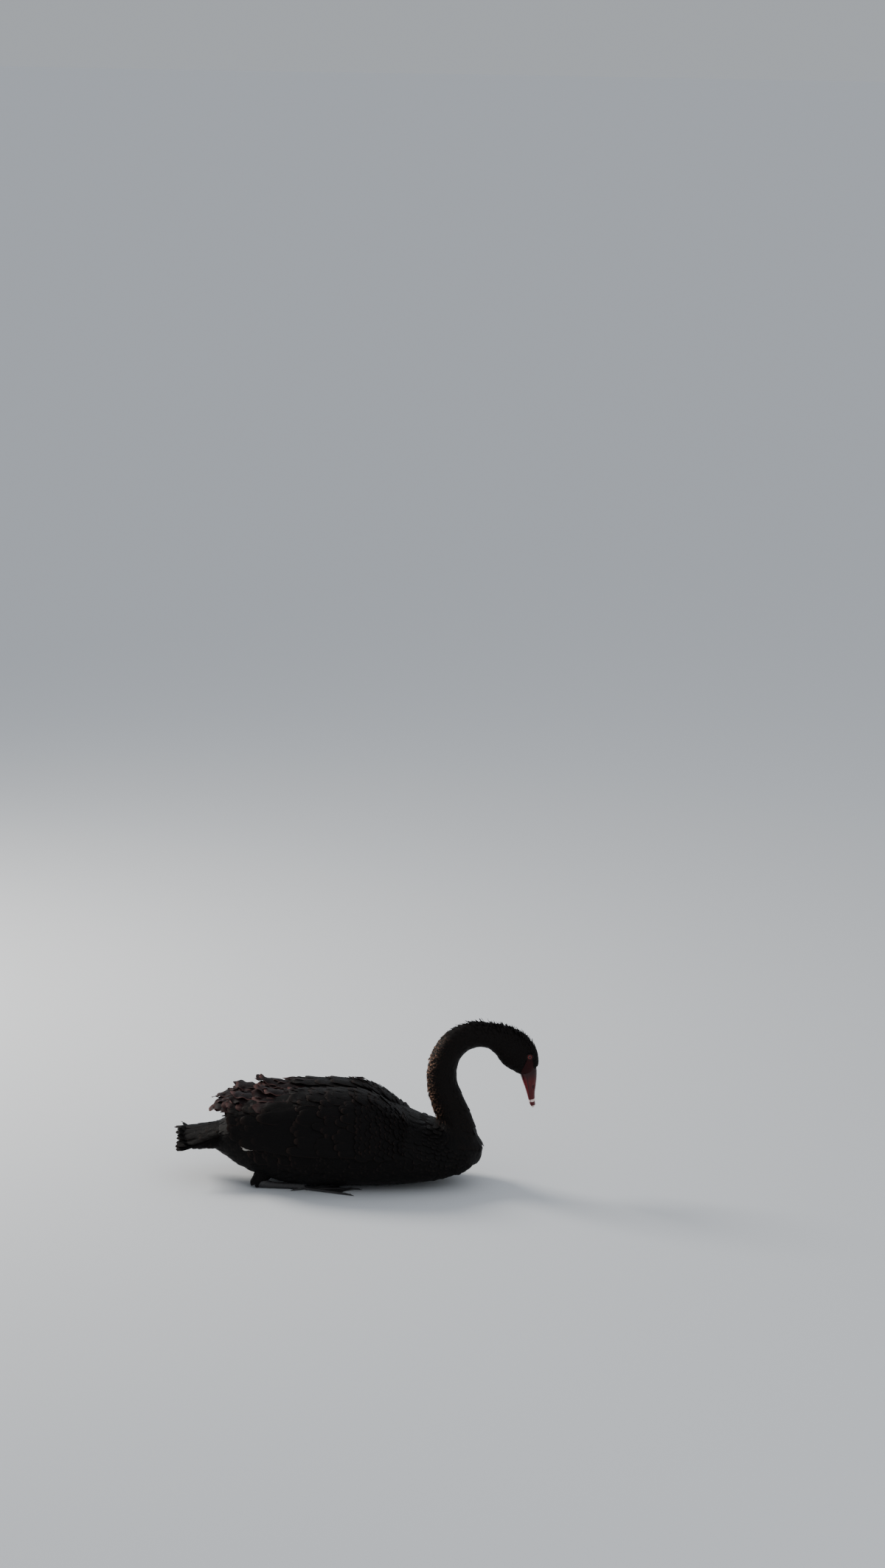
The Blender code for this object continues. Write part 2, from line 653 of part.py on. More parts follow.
def tail_vanes(chance):
    """The fan's feathers and the shorter ones over their roots, side by side on the arch."""
    made = []
    for _, x, root_spread, tip_spread, count, length, width, height in TAIL_TIERS:
        for share in np.linspace(-1, 1, count):
            _, wide, top, droop, _ = eased(-x, -TAIL[:, 0], TAIL)[0]
            _, wide_end, top_end, droop_end, _ = eased(-TAIL[-1, 0], -TAIL[:, 0], TAIL)[0]
            y, y_end = root_spread * share, tip_spread * share
            z = top - droop * (y / wide) ** 2 + height + 0.0007 * (1 - abs(share))
            z_end = top_end - droop_end * (y_end / wide_end) ** 2 + 0.0012
            root = np.array((x + chance.uniform(-0.002, 0.002), y, z))
            way = np.array((TAIL[-1, 0], y_end, z_end)) - root
            way /= np.linalg.norm(way)
            tilt = np.array((0, 2 * droop_end * y_end / wide_end**2 * 0.8, 1.0))
            up = tilt - way * (tilt @ way)
            up /= np.linalg.norm(up)
            made.append(vane(root, way, up, length * chance.uniform(0.95, 1.04), width,
                             chance.uniform(-3, 3), chance.uniform(-6, 6) + 5 * np.sign(share)))
    return made


def tail(finish, torso_cutter, chance):
    """The tail: its core with the fan's feathers fused to it, open for the torso's end."""
    made = new_object("tail", tail_sheet(0.0, 0.0, 0.0), finish)
    combined(made, tail_vanes(chance), "UNION")
    combined(made, [torso_cutter], "DIFFERENCE")
    soften(made, 30)


def rod(path, half_widths, heights, sides=8):
    """A rod that lies on the floor along a path, round on top and flat below."""
    path = np.asarray(path, float)
    way = np.gradient(path, axis=0)
    way /= np.linalg.norm(way, axis=1, keepdims=True)
    angle = (np.arange(sides) + 0.5) * 2 * math.pi / sides
    rings = []
    for (x, y), (dx, dy), wide, tall in zip(path, way, half_widths, heights):
        out = wide * np.cos(angle)
        up = np.maximum(tall * (0.42 + 0.58 * np.sin(angle)), 0.0)
        rings.append(np.stack([x - dy * out, y + dx * out, up], 1))
    return closed_rings(rings)


def toe_line(turn, length, side, steps=5):
    way = np.array((math.cos(math.radians(turn)), side * math.sin(math.radians(turn))))
    knuckle = np.array((FOOT_KNUCKLE[0], side * FOOT_KNUCKLE[1]))
    return knuckle + way * length * np.linspace(0, 1, steps)[:, None]


def web(side, grown):
    """The skin between the three front toes, a thin plate with hollowed front edges."""
    tips = [toe_line(turn, length * 0.93 + 2 * grown, side)[-1] for turn, length in TOES[:3]]
    knuckle = np.array((FOOT_KNUCKLE[0] - 0.004, side * FOOT_KNUCKLE[1]))
    edge = []
    for first, last in ((tips[0], tips[1]), (tips[1], tips[2])):
        for t in np.linspace(0, 1, 5)[:-1]:
            hollow = (WEB_HOLLOW - 2 * grown) * math.sin(math.pi * t)
            edge.append(first + (last - first) * t - (hollow, 0))
    outline = np.array([knuckle, *edge, tips[2]])
    base = np.concatenate([outline, np.zeros((len(outline), 1))], 1)
    return prism(base, WEB_THICKNESS + grown)


def prism(base, height):
    """A flat outline, fanned from its first point, carried straight up."""
    count = len(base)
    points = np.concatenate([base, base + (0, 0, height)])
    faces = []
    for k in range(1, count - 1):
        faces += [(0, k + 1, k), (count, count + k, count + k + 1)]
    for k in range(count):
        j = (k + 1) % count
        faces += [(k, j, count + j), (k, count + j, count + k)]
    return points, np.array(faces)


def leg_pieces(side, grown=0.0):
    """The shank, the toes with their claws and the web; grown pieces cut the belly for them."""
    places = LEG[:, 0]
    rows = eased(np.linspace(places[0], places[-1], 8), places, LEG)
    path = rows[:, :2] * (1, side)
    path[0, 0] -= grown
    path[-1, 0] += grown
    shank = rod(path, rows[:, 2] + grown, rows[:, 3] * 2 + grown, 8)
    pieces = [shank]
    for turn, length in TOES:
        line = toe_line(turn, length + CLAW_LENGTH + grown, side, 6)
        taper = np.array((1.0, 0.92, 0.84, 0.76, 0.62, 0.12))
        pieces.append(rod(line, 0.0036 * taper + grown, TOE_THICKNESS * taper + grown, 6))
    pieces.append(web(side, grown))
    for points, _ in pieces:
        points[points[:, 2] < grown / 2, 2] = -4 * grown
    return pieces


def leg(side, finish):
    name = "leg_left" if side > 0 else "leg_right"
    shank, *others = leg_pieces(side)
    made = combined(new_object(name, shank, finish), others, "UNION")
    soften(made)
    return made


def main():
    clear_scene()
    plumage = material("plumage_black", PLUMAGE, 0.6)
    red = material("bill_red", BILL_RED, 0.35)
    iris = material("eye_red", EYE_RED, 0.1)
    grey = material("foot_grey", FOOT_GREY, 0.55)
    cutter = torso_shape(CUT)
    torso = new_object("torso", torso_shape(), plumage)
    combined(torso, [piece for side in (1, -1) for piece in leg_pieces(side, 2 * CUT)], "DIFFERENCE")
    soften(torso)
    neck(plumage, cutter)
    head(plumage, iris)
    bill(red)
    chance = np.random.default_rng(SEED)
    tail(plumage, cutter, chance)
    for side in (1, -1):
        wing(side, plumage, cutter, chance)
        leg(side, grey)


main()
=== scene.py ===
# %% [markdown]
# # A black swan afloat
# The solids of the bird come first, as a fixed frame in metres: it heads along +X, its left side
# is +Y, and it rests on its belly at height 0. Every surface below is worked out in that frame,
# so a feather or an eyelid lands where the solid has it, with nothing to fit by hand.

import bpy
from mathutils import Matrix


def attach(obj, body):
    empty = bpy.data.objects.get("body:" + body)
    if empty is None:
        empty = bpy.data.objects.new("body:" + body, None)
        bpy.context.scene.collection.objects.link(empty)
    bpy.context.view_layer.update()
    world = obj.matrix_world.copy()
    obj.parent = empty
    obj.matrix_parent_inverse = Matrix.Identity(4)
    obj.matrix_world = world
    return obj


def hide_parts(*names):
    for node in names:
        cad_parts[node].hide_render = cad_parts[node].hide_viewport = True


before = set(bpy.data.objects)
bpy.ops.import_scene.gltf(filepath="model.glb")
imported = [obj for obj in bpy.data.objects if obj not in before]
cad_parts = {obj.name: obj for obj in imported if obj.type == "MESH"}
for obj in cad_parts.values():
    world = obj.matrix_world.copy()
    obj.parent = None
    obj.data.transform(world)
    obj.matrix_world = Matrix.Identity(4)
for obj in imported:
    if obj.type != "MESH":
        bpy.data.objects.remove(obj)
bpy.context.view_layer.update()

import math

import bpy
import numpy as np

print("solids:", ", ".join(sorted(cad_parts)))

# %% [markdown]
# ## The shape of the bird, from a few sections
# A real swan's outline is that of its feathers. It is described here by a handful of sections:
# the body by width, top, bottom and widest line, the neck and head by a curved line with a depth
# and a width. A cubic curve runs smoothly through each column of such a table. Sections are
# easier to judge against a photo than a sculpted mesh, and every feather can ask them where it
# grows and which way is out.

# %% Sections of the body, the neck and the head
TORSO = np.array([
    (-0.238, 0.020, 0.102, 0.072, 0.087),
    (-0.222, 0.040, 0.114, 0.056, 0.088),
    (-0.195, 0.062, 0.131, 0.038, 0.088),
    (-0.150, 0.086, 0.156, 0.016, 0.086),
    (-0.090, 0.106, 0.176, 0.000, 0.082),
    (0.000, 0.118, 0.184, -0.002, 0.078),
    (0.080, 0.113, 0.169, -0.001, 0.075),
    (0.125, 0.105, 0.149, 0.001, 0.072),
    (0.180, 0.092, 0.126, 0.007, 0.069),
    (0.225, 0.075, 0.113, 0.017, 0.067),
    (0.262, 0.052, 0.106, 0.032, 0.067),
    (0.280, 0.030, 0.092, 0.046, 0.068),
])
TORSO_ENDS = (-0.244, 0.287)
BELLY_FULLNESS, BACK_FULLNESS = 2.4, 2.1
SPINE = np.array([
    (0.214, 0.062, 0.056, 0.056),
    (0.226, 0.088, 0.050, 0.051),
    (0.229, 0.112, 0.042, 0.042),
    (0.225, 0.136, 0.0365, 0.0350),
    (0.213, 0.166, 0.0335, 0.0310),
    (0.204, 0.198, 0.0312, 0.0288),
    (0.205, 0.232, 0.0300, 0.0275),
    (0.217, 0.262, 0.0292, 0.0265),
    (0.242, 0.285, 0.0282, 0.0255),
    (0.274, 0.293, 0.0270, 0.0245),
    (0.301, 0.289, 0.0275, 0.0240),
    (0.323, 0.279, 0.0320, 0.0235),
    (0.340, 0.266, 0.0355, 0.0230),
    (0.353, 0.251, 0.0340, 0.0220),
    (0.3615, 0.236, 0.0275, 0.0195),
    (0.3665, 0.222, 0.0190, 0.0165),
])
SPINE_PLACES = np.append(0, np.cumsum(np.linalg.norm(np.diff(SPINE[:, :2], axis=0), axis=1)))
SPINE_PLACES /= SPINE_PLACES[-1]
HEAD_START = 0.775
print(len(TORSO), "sections of the body,", len(SPINE), "of the neck and head")

# %% [markdown]
# Between two sections a cubic is used whose slope at each section is the mean slope of its
# neighbours. It passes through every row and never kinks, which a straight blend would do.


# %% A smooth curve through rows
def eased(at, places, rows):
    """Cubic Hermite: f = a(2t³-3t²+1) + b(3t²-2t³) + h·ma(t³-2t²+t) + h·mb(t³-t²), where a, b
    are the two rows round a place, ma, mb their slopes, h their distance and t the share."""
    slopes = np.gradient(rows, places, axis=0)
    at = np.clip(at, places[0], places[-1])
    low = np.clip(np.searchsorted(places, at) - 1, 0, len(places) - 2)
    step = (places[low + 1] - places[low])[..., None]
    t = (at - places[low])[..., None] / step
    first, last = rows[low], rows[low + 1]
    return (first * (2 * t**3 - 3 * t**2 + 1) + last * (3 * t**2 - 2 * t**3)
            + slopes[low] * step * (t**3 - 2 * t**2 + t) + slopes[low + 1] * step * (t**3 - t**2))


def unit(vectors):
    return vectors / np.maximum(np.linalg.norm(vectors, axis=-1, keepdims=True), 1e-12)


def signed_power(value, exponent):
    return np.sign(value) * np.abs(value) ** exponent


# %% [markdown]
# The body's section is a rounded box, a superellipse, fuller below than above. The neck and head
# are ellipses carried square to a curved line. Both are functions of two parameters, a place
# along and an angle round, so the same call serves for a skin, a feather root or an eyelid.


# %% Surfaces of the body, the neck and the head
def torso_surface(x, angle, inset=0.0):
    """y = w·sin^p(angle), z = waist + rise·cos^p(angle), with p = 2 over the fullness. Past the
    last section the size falls as a quarter ellipse to the pole. Angle 0 is the back."""
    row = eased(x, TORSO[:, 0], TORSO)
    rear, front = TORSO[0, 0], TORSO[-1, 0]
    beyond = np.maximum((x - front) / (TORSO_ENDS[1] - front), (rear - x) / (rear - TORSO_ENDS[0]))
    close = np.sqrt(1 - np.clip(beyond, 0, 1) ** 2)
    up, side = np.cos(angle), np.sin(angle)
    power = np.where(up > 0, 2 / BACK_FULLNESS, 2 / BELLY_FULLNESS)
    rise = np.where(up > 0, row[..., 2] - row[..., 4], row[..., 4] - row[..., 3])
    y = (row[..., 1] * close - inset) * signed_power(side, power)
    z = row[..., 4] + (rise * close - inset) * signed_power(up, power)
    return np.stack([x + 0 * y, y, np.maximum(z, 0.0002 + inset)], -1)


def spine_surface(share, angle, inset=0.0):
    """centre + n·depth·cos(angle) + Y·width·sin(angle), n being square to the line in its plane.
    Angle 0 is the nape and crown, half a turn the throat."""
    share = np.clip(share, 0, 1)
    row = eased(share, SPINE_PLACES, SPINE)
    way = unit(eased(share + 0.004, SPINE_PLACES, SPINE)[..., :2]
               - eased(share - 0.004, SPINE_PLACES, SPINE)[..., :2])
    out = (row[..., 2] - inset) * np.cos(angle)
    return np.stack([row[..., 0] - way[..., 1] * out, (row[..., 3] - inset) * np.sin(angle),
                     row[..., 1] + way[..., 0] * out], -1)


top = torso_surface(np.array(0.0), np.array(0.0))
print("back at", np.round(top * 1000), "mm; crown at", np.round(
    spine_surface(np.array(0.85), np.array(0.0)) * 1000), "mm")

# %% [markdown]
# ## The folded wing and the tail
# A folded wing is a shallow shell over the flank. Its section is a quadratic curve from the upper
# edge by the spine, bowed out over the flank, to the lower edge. The tail is a fan whose sides
# droop, so its section is a shallow arch.

# %% Sections and surfaces of the wing and the tail
WING = np.array([
    (0.172, 0.024, 0.105, 0.046, 0.114, 0.062, 0.080),
    (0.125, 0.014, 0.146, 0.086, 0.160, 0.108, 0.078),
    (0.080, 0.010, 0.175, 0.104, 0.191, 0.121, 0.077),
    (0.000, 0.008, 0.187, 0.114, 0.208, 0.127, 0.080),
    (-0.080, 0.007, 0.184, 0.107, 0.204, 0.121, 0.089),
    (-0.150, 0.008, 0.172, 0.090, 0.189, 0.103, 0.103),
    (-0.200, 0.010, 0.161, 0.070, 0.176, 0.083, 0.117),
    (-0.235, 0.014, 0.151, 0.055, 0.162, 0.064, 0.136),
])
WING_SPAN = (0.172, -0.235)
TAIL = np.array([
    (-0.195, 0.038, 0.117, 0.008, 0.050),
    (-0.225, 0.045, 0.114, 0.013, 0.048),
    (-0.255, 0.051, 0.109, 0.019, 0.034),
    (-0.284, 0.051, 0.104, 0.023, 0.006),
])


def wing_surface(along, across, side):
    """P = U(1-c)² + 2C·c(1-c) + L·c², the curve from upper to lower edge, at a share along from
    wrist to tip. Past the tip each section goes straight on."""
    x = WING_SPAN[0] + (WING_SPAN[1] - WING_SPAN[0]) * along
    inner = np.maximum(x, WING_SPAN[1])
    row = eased(-inner, -WING[:, 0], WING)
    before = eased(-inner - 0.01, -WING[:, 0], WING)
    row = row + (row - before) * ((inner - x) / 0.01)[..., None]
    p, q, r = (1 - across) ** 2, 2 * across * (1 - across), across**2
    y = p * row[..., 1] + q * row[..., 3] + r * row[..., 5]
    z = p * row[..., 2] + q * row[..., 4] + r * row[..., 6]
    return np.stack([x + 0 * y, y * side, z], -1)


def tail_surface(x, across):
    """z = top - droop·a² over y = width·a, with a from -1 to 1 across the fan."""
    row = eased(-x, -TAIL[:, 0], TAIL)
    return np.stack([x + 0 * across, row[..., 1] * across,
                     row[..., 2] - row[..., 3] * across**2], -1)


print("wing", round(1000 * (WING_SPAN[0] - WING_SPAN[1])), "mm long, tail fan",
      round(2000 * TAIL[-1, 1]), "mm wide")

# %% [markdown]
# ## From arrays to meshes
# A mesh here is two arrays, points and triangles or quads, handed to Blender in one go. A grid of
# points becomes quads by index arithmetic, and a closed tube gets a fan at either end.


# %% Mesh helpers
def add_mesh(name, points, faces, finish, uv=None, bake_uv=None, tint=None, sharp=None):
    """Makes an object of points (n, 3) and faces (m, 3 or 4), with optional maps by point."""
    mesh = bpy.data.meshes.new(name)
    mesh.vertices.add(len(points))
    mesh.vertices.foreach_set("co", np.asarray(points, np.float32).ravel())
    faces = np.asarray(faces, np.int32)
    mesh.loops.add(faces.size)
    mesh.loops.foreach_set("vertex_index", faces.ravel())
    mesh.polygons.add(len(faces))
    mesh.polygons.foreach_set("loop_start", np.arange(0, faces.size, faces.shape[1], dtype=np.int32))
    mesh.update(calc_edges=True)
    for title, values in (("feather", uv), ("OFBake", bake_uv)):
        if values is not None:
            layer = mesh.uv_layers.new(name=title)
            layer.data.foreach_set("uv", np.asarray(values, np.float32)[faces.ravel()].ravel())
    if tint is not None:
        mesh.attributes.new("tint", "FLOAT", "POINT").data.foreach_set("value", np.asarray(tint, np.float32))
    mesh.materials.append(finish)
    mesh.shade_smooth()
    if sharp:
        mesh.set_sharp_from_angle(angle=math.radians(sharp))
    made = bpy.data.objects.new(name, mesh)
    bpy.context.scene.collection.objects.link(made)
    return made


def place(piece, slot, *nodes):
    """Every piece rides on the one body and may stand for solids. The slot is not used."""
    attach(piece, "root")
    if nodes:
        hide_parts(*nodes)
    print(piece.name, len(piece.data.polygons), "faces")
    return piece


def grid_faces(rows, columns, wrapped=False):
    """Quads (i,j) (i+1,j) (i+1,j+1) (i,j+1) of a grid, joined back to column 0 if wrapped."""
    index = np.arange(rows * columns).reshape(rows, columns)
    if wrapped:
        index = np.concatenate([index, index[:, :1]], 1)
    return np.stack([index[:-1, :-1], index[1:, :-1], index[1:, 1:], index[:-1, 1:]], -1).reshape(-1, 4)


def closed_tube(rings, start, end):
    """Points and triangles of rings (k, n, 3), with a fan to a pole at either end."""
    count, sides = rings.shape[:2]
    quads = grid_faces(count, sides, True)
    first, last = np.arange(sides), np.arange(sides) + (count - 1) * sides
    fans = [np.stack([np.roll(first, -1), first, np.full(sides, count * sides)], 1)[:, ::-1],
            np.stack([last, np.roll(last, -1), np.full(sides, count * sides + 1)], 1)[:, ::-1]]
    faces = np.concatenate([quads[:, [0, 1, 2]], quads[:, [0, 2, 3]], *fans])
    return np.concatenate([rings.reshape(-1, 3), [start], [end]]), outward(
        np.concatenate([rings.reshape(-1, 3), [start], [end]]), faces)


def outward(points, faces):
    """Turns every triangle round if the closed shape's volume comes out negative."""
    return faces[:, ::-1] if np.linalg.det(points[faces]).sum() < 0 else faces


def slab(upper, lower):
    """A closed sheet between two matching grids: both grids and a rim of quads, as triangles."""
    rows, columns = upper.shape[:2]
    index = np.arange(rows * columns).reshape(rows, columns)
    grid = grid_faces(rows, columns)
    rim = np.concatenate([index[0], index[1:, -1], index[-1, -2::-1], index[-2:0:-1, 0]])
    after, under = np.roll(rim, -1), rows * columns
    quads = np.concatenate([grid, grid[:, ::-1] + under, np.stack([rim, after, after + under, rim + under], 1)])
    points = np.concatenate([upper.reshape(-1, 3), lower.reshape(-1, 3)])
    return points, outward(points, np.concatenate([quads[:, [0, 1, 2]], quads[:, [0, 2, 3]]]))


print("mesh helpers ready")

# %% [markdown]
# ## Plumage
# A black swan isn't flatly black. Each feather is sooty brown-black with a slightly paler, browner
# margin, crossed by fine barbs that run out from the shaft at a slant. That is one effect used on
# body, wing and tail, so it is a shader group. It reads the feather's own map, across and along,
# and a random number per feather.


# %% Small helpers for shader nodes
def node(tree, kind, settings=(), **inputs):
    """A node with settings and inputs; an input is a value or another node's output."""
    made = tree.nodes.new(kind)
    for key, value in settings:
        setattr(made, key, value)
    for key, value in inputs.items():
        socket = made.inputs[int(key[1:])] if key[0] == "i" and key[1:].isdigit() else made.inputs[
            key.replace("_", " ")]
        if isinstance(value, bpy.types.NodeSocket):
            tree.links.new(value, socket)
        else:
            socket.default_value = value
    return made


def maths(tree, operation, *values):
    inputs = {f"i{k}": value for k, value in enumerate(values)}
    return node(tree, "ShaderNodeMath", (("operation", operation),), **inputs).outputs[0]


def blend_colours(tree, share, first, last):
    """Mixes two colours by a share."""
    made = node(tree, "ShaderNodeMix", (("data_type", "RGBA"),))
    for slot_index, value in ((0, share), (6, first), (7, last)):
        if isinstance(value, bpy.types.NodeSocket):
            tree.links.new(value, made.inputs[slot_index])
        else:
            made.inputs[slot_index].default_value = value
    return made.outputs[2]


def between(tree, value, low, high):
    """A smooth step from 0 at low to 1 at high."""
    made = node(tree, "ShaderNodeMapRange", (("interpolation_type", "SMOOTHSTEP"),),
                Value=value, From_Min=low, From_Max=high)
    return made.outputs["Result"]


def new_group(title, inputs, outputs):
    tree = bpy.data.node_groups.new(title, "ShaderNodeTree")
    for name, kind, value in inputs:
        socket = tree.interface.new_socket(name, in_out="INPUT", socket_type=kind)
        socket.default_value = value
    for name, kind in outputs:
        tree.interface.new_socket(name, in_out="OUTPUT", socket_type=kind)
    return tree, tree.nodes.new("NodeGroupInput").outputs, tree.nodes.new("NodeGroupOutput").inputs


# %% [markdown]
# The margin mask grows towards the tip and the two edges. The barbs are a sine of a slanted
# coordinate, mirrored at the shaft, and the shaft itself is a thin raised line.

# %% The plumage group
COLOUR, NUMBER = "NodeSocketColor", "NodeSocketFloat"
plumage_group, given, made_out = new_group(
    "plumage",
    (("Dark", COLOUR, (0.010, 0.009, 0.009, 1)), ("Margin", COLOUR, (0.05, 0.036, 0.030, 1)),
     ("Margin Width", NUMBER, 0.3), ("Barbs", NUMBER, 70.0)),
    (("Color", COLOUR), ("Roughness", NUMBER), ("Height", NUMBER)))
tree = plumage_group
map_uv = node(tree, "ShaderNodeSeparateXYZ", (), Vector=node(
    tree, "ShaderNodeUVMap", (("uv_map", "feather"),)).outputs[0]).outputs
tint = node(tree, "ShaderNodeAttribute", (("attribute_name", "tint"),)).outputs["Fac"]
off_shaft = maths(tree, "ABSOLUTE", maths(tree, "SUBTRACT", map_uv[0], 0.5))
towards_edge = maths(tree, "MAXIMUM", maths(tree, "MULTIPLY", off_shaft, 1.7), maths(
    tree, "SUBTRACT", map_uv[1], 0.12))
start = maths(tree, "SUBTRACT", 0.93, given["Margin Width"])
margin = between(tree, towards_edge, start, 0.93)
strength = maths(tree, "MULTIPLY", margin, maths(tree, "ADD", maths(tree, "MULTIPLY", tint, 0.98), 0.007))
mottle = node(tree, "ShaderNodeTexNoise", (), Scale=160.0, Detail=2.0, Vector=node(
    tree, "ShaderNodeTexCoord").outputs["Object"]).outputs["Fac"]
strength = maths(tree, "MULTIPLY", strength, maths(tree, "ADD", maths(tree, "MULTIPLY", mottle, 0.9), 0.45))
slanted = maths(tree, "SUBTRACT", map_uv[1], maths(tree, "MULTIPLY", off_shaft, 0.9))
barb = maths(tree, "SINE", maths(tree, "MULTIPLY", slanted, maths(tree, "MULTIPLY", given["Barbs"], 6.283)))
streak_at = node(tree, "ShaderNodeCombineXYZ", (), X=maths(tree, "MULTIPLY", slanted, given["Barbs"]),
                 Y=maths(tree, "MULTIPLY", off_shaft, 1.5), Z=maths(tree, "MULTIPLY", tint, 40.0)).outputs[0]
streak = node(tree, "ShaderNodeTexNoise", (), Scale=1.0, Detail=3.0, Vector=streak_at).outputs["Fac"]
shaft = maths(tree, "SUBTRACT", 1.0, between(tree, off_shaft, 0.012, 0.035))
coloured = blend_colours(tree, strength, given["Dark"], given["Margin"])
lighter = blend_colours(tree, 0.5, coloured, given["Margin"])
streak_share = maths(tree, "MULTIPLY", between(tree, streak, 0.45, 0.72), maths(tree, "ADD", maths(
    tree, "MULTIPLY", strength, 0.5), 0.03))
streaked = blend_colours(tree, streak_share, coloured, lighter)
tree.links.new(streaked, made_out["Color"])
rough = maths(tree, "ADD", maths(tree, "MULTIPLY", mottle, 0.16), maths(tree, "ADD", maths(
    tree, "MULTIPLY", margin, 0.08), 0.40))
tree.links.new(rough, made_out["Roughness"])
barbed = maths(tree, "ADD", maths(tree, "MULTIPLY", barb, 0.25), maths(tree, "MULTIPLY", streak, 1.1))
tree.links.new(maths(tree, "ADD", barbed, shaft), made_out["Height"])
print("plumage group:", len(tree.nodes), "nodes")

# %% [markdown]
# The Principled BSDF stays in each material and takes the group's colour, roughness and bump. A
# touch of sheen gives feathers the soft light at their edges. The wing's curled feathers have the
# palest, reddest margins, and the long flight feathers are white.


# %% Feather materials
def feather_material(title, dark, margin_colour, margin_width, barbs, bump=0.35, sheen=0.010, gloss=0.060):
    made = bpy.data.materials.new(title)
    made.use_nodes = True
    tree = made.node_tree
    shader = tree.nodes["Principled BSDF"]
    group = node(tree, "ShaderNodeGroup", (("node_tree", plumage_group),), Dark=(*dark, 1),
                 Margin=(*margin_colour, 1), Margin_Width=margin_width, Barbs=barbs)
    tree.links.new(group.outputs["Color"], shader.inputs["Base Color"])
    tree.links.new(group.outputs["Roughness"], shader.inputs["Roughness"])
    bump_node = node(tree, "ShaderNodeBump", (), Height=group.outputs["Height"], Strength=bump, Distance=0.0004)
    tree.links.new(bump_node.outputs[0], shader.inputs["Normal"])
    shader.inputs["Specular IOR Level"].default_value = gloss
    shader.inputs["Sheen Weight"].default_value = sheen
    shader.inputs["Sheen Roughness"].default_value = 0.4
    return made


SOOT, BROWN_EDGE = (0.0044, 0.0040, 0.0040), (0.022, 0.016, 0.014)
body_finish = feather_material("body_plumage", SOOT, BROWN_EDGE, 0.24, 26)
# The neck's margin is a bright orange-brown that shows only along the nape: a painted highlight of the light from
# behind.
neck_finish = feather_material("neck_plumage", SOOT, (0.560, 0.310, 0.210), 0.26, 14)
wing_finish = feather_material("wing_plumage", (0.0048, 0.0042, 0.0042), (0.032, 0.019, 0.015), 0.20, 60, 0.35, 0.010, 0.055)
curl_finish = feather_material("curled_plumage", (0.0080, 0.0045, 0.0050), (0.130, 0.058, 0.052), 0.26, 60, 0.45, 0.010, 0.08)
tail_finish = feather_material("tail_plumage", (0.0036, 0.0032, 0.0032), (0.026, 0.017, 0.014), 0.20, 70, 0.35, 0.006, 0.045)
white_finish = feather_material("flight_white", (0.50, 0.48, 0.44), (0.30, 0.27, 0.24), 0.3, 80, 0.5, 0.05, 0.3)
print("feather materials ready")

# %% [markdown]
# Under the feathers lies a dark skin. It shows only in the cracks between them, so it gets a soft black down with a
# fine fuzz of noise. The nape's painted highlight, a warm brown standing for the light from behind, is laid on the
# skin as well as on its feathers: the painted patch is a box in X and Z with soft edges, which only the rear of the
# neck passes.


# %% Down and skin material
def noise_material(title, dark, light, scale, roughness, bump, distance, detail=4.0, coat=0.0, gloss=0.5):
    """Two colours mixed by noise on the object's own coordinates, with the same noise as bump."""
    made = bpy.data.materials.new(title)
    made.use_nodes = True
    tree = made.node_tree
    shader = tree.nodes["Principled BSDF"]
    place_ = node(tree, "ShaderNodeTexCoord").outputs["Object"]
    noise = node(tree, "ShaderNodeTexNoise", (), Scale=scale, Detail=detail, Vector=place_).outputs["Fac"]
    tree.links.new(blend_colours(tree, between(tree, noise, 0.35, 0.65), (*dark, 1), (*light, 1)),
                   shader.inputs["Base Color"])
    tree.links.new(maths(tree, "ADD", maths(tree, "MULTIPLY", noise, 0.2), roughness - 0.1),
                   shader.inputs["Roughness"])
    bumped = node(tree, "ShaderNodeBump", (), Height=noise, Strength=bump, Distance=distance)
    tree.links.new(bumped.outputs[0], shader.inputs["Normal"])
    shader.inputs["Coat Weight"].default_value = coat
    shader.inputs["Coat Roughness"].default_value = 0.12
    shader.inputs["Specular IOR Level"].default_value = gloss
    return made


def down_material(title):
    return noise_material(title, (0.004, 0.0036, 0.0036), (0.008, 0.0065, 0.0065), 420, 0.85, 0.5, 0.0008,
                          gloss=0.08)


def paint_nape_highlight(made, highlight_brown):
    """Lays a painted brown highlight over a material's colour where X and Z, in metres, lie inside the nape's box."""
    tree = made.node_tree
    shader = tree.nodes["Principled BSDF"]
    coordinates = node(tree, "ShaderNodeTexCoord").outputs["Object"]
    x, _, z = node(tree, "ShaderNodeSeparateXYZ", (), Vector=coordinates).outputs
    share = between(tree, x, 0.126, 0.140)
    for value, none, full in ((x, 0.200, 0.172), (z, 0.150, 0.172), (z, 0.268, 0.235)):
        share = maths(tree, "MULTIPLY", share, between(tree, value, none, full))
    plain = shader.inputs["Base Color"].links[0].from_socket
    tree.links.new(blend_colours(tree, share, plain, (*highlight_brown, 1)), shader.inputs["Base Color"])


down_finish, skin_finish = down_material("dark_down"), down_material("nape_highlight_down")
# The skin at the nape gets the same painted brown highlight.
paint_nape_highlight(skin_finish, (0.030, 0.017, 0.011))
print("down ready")

# %% [markdown]
# ## One feather, and thousands
# A feather is a thin closed lens: rings of points along a bending centre line, widest past the
# middle, round at the tip, its two vanes dipping a little at the edges. Thousands of them are the
# same few rings computed for whole arrays at once, so each keeps its own place, length, bend and
# ruffle, and all of a coat is one mesh. Hair particles would look finer but leave no solid shape.


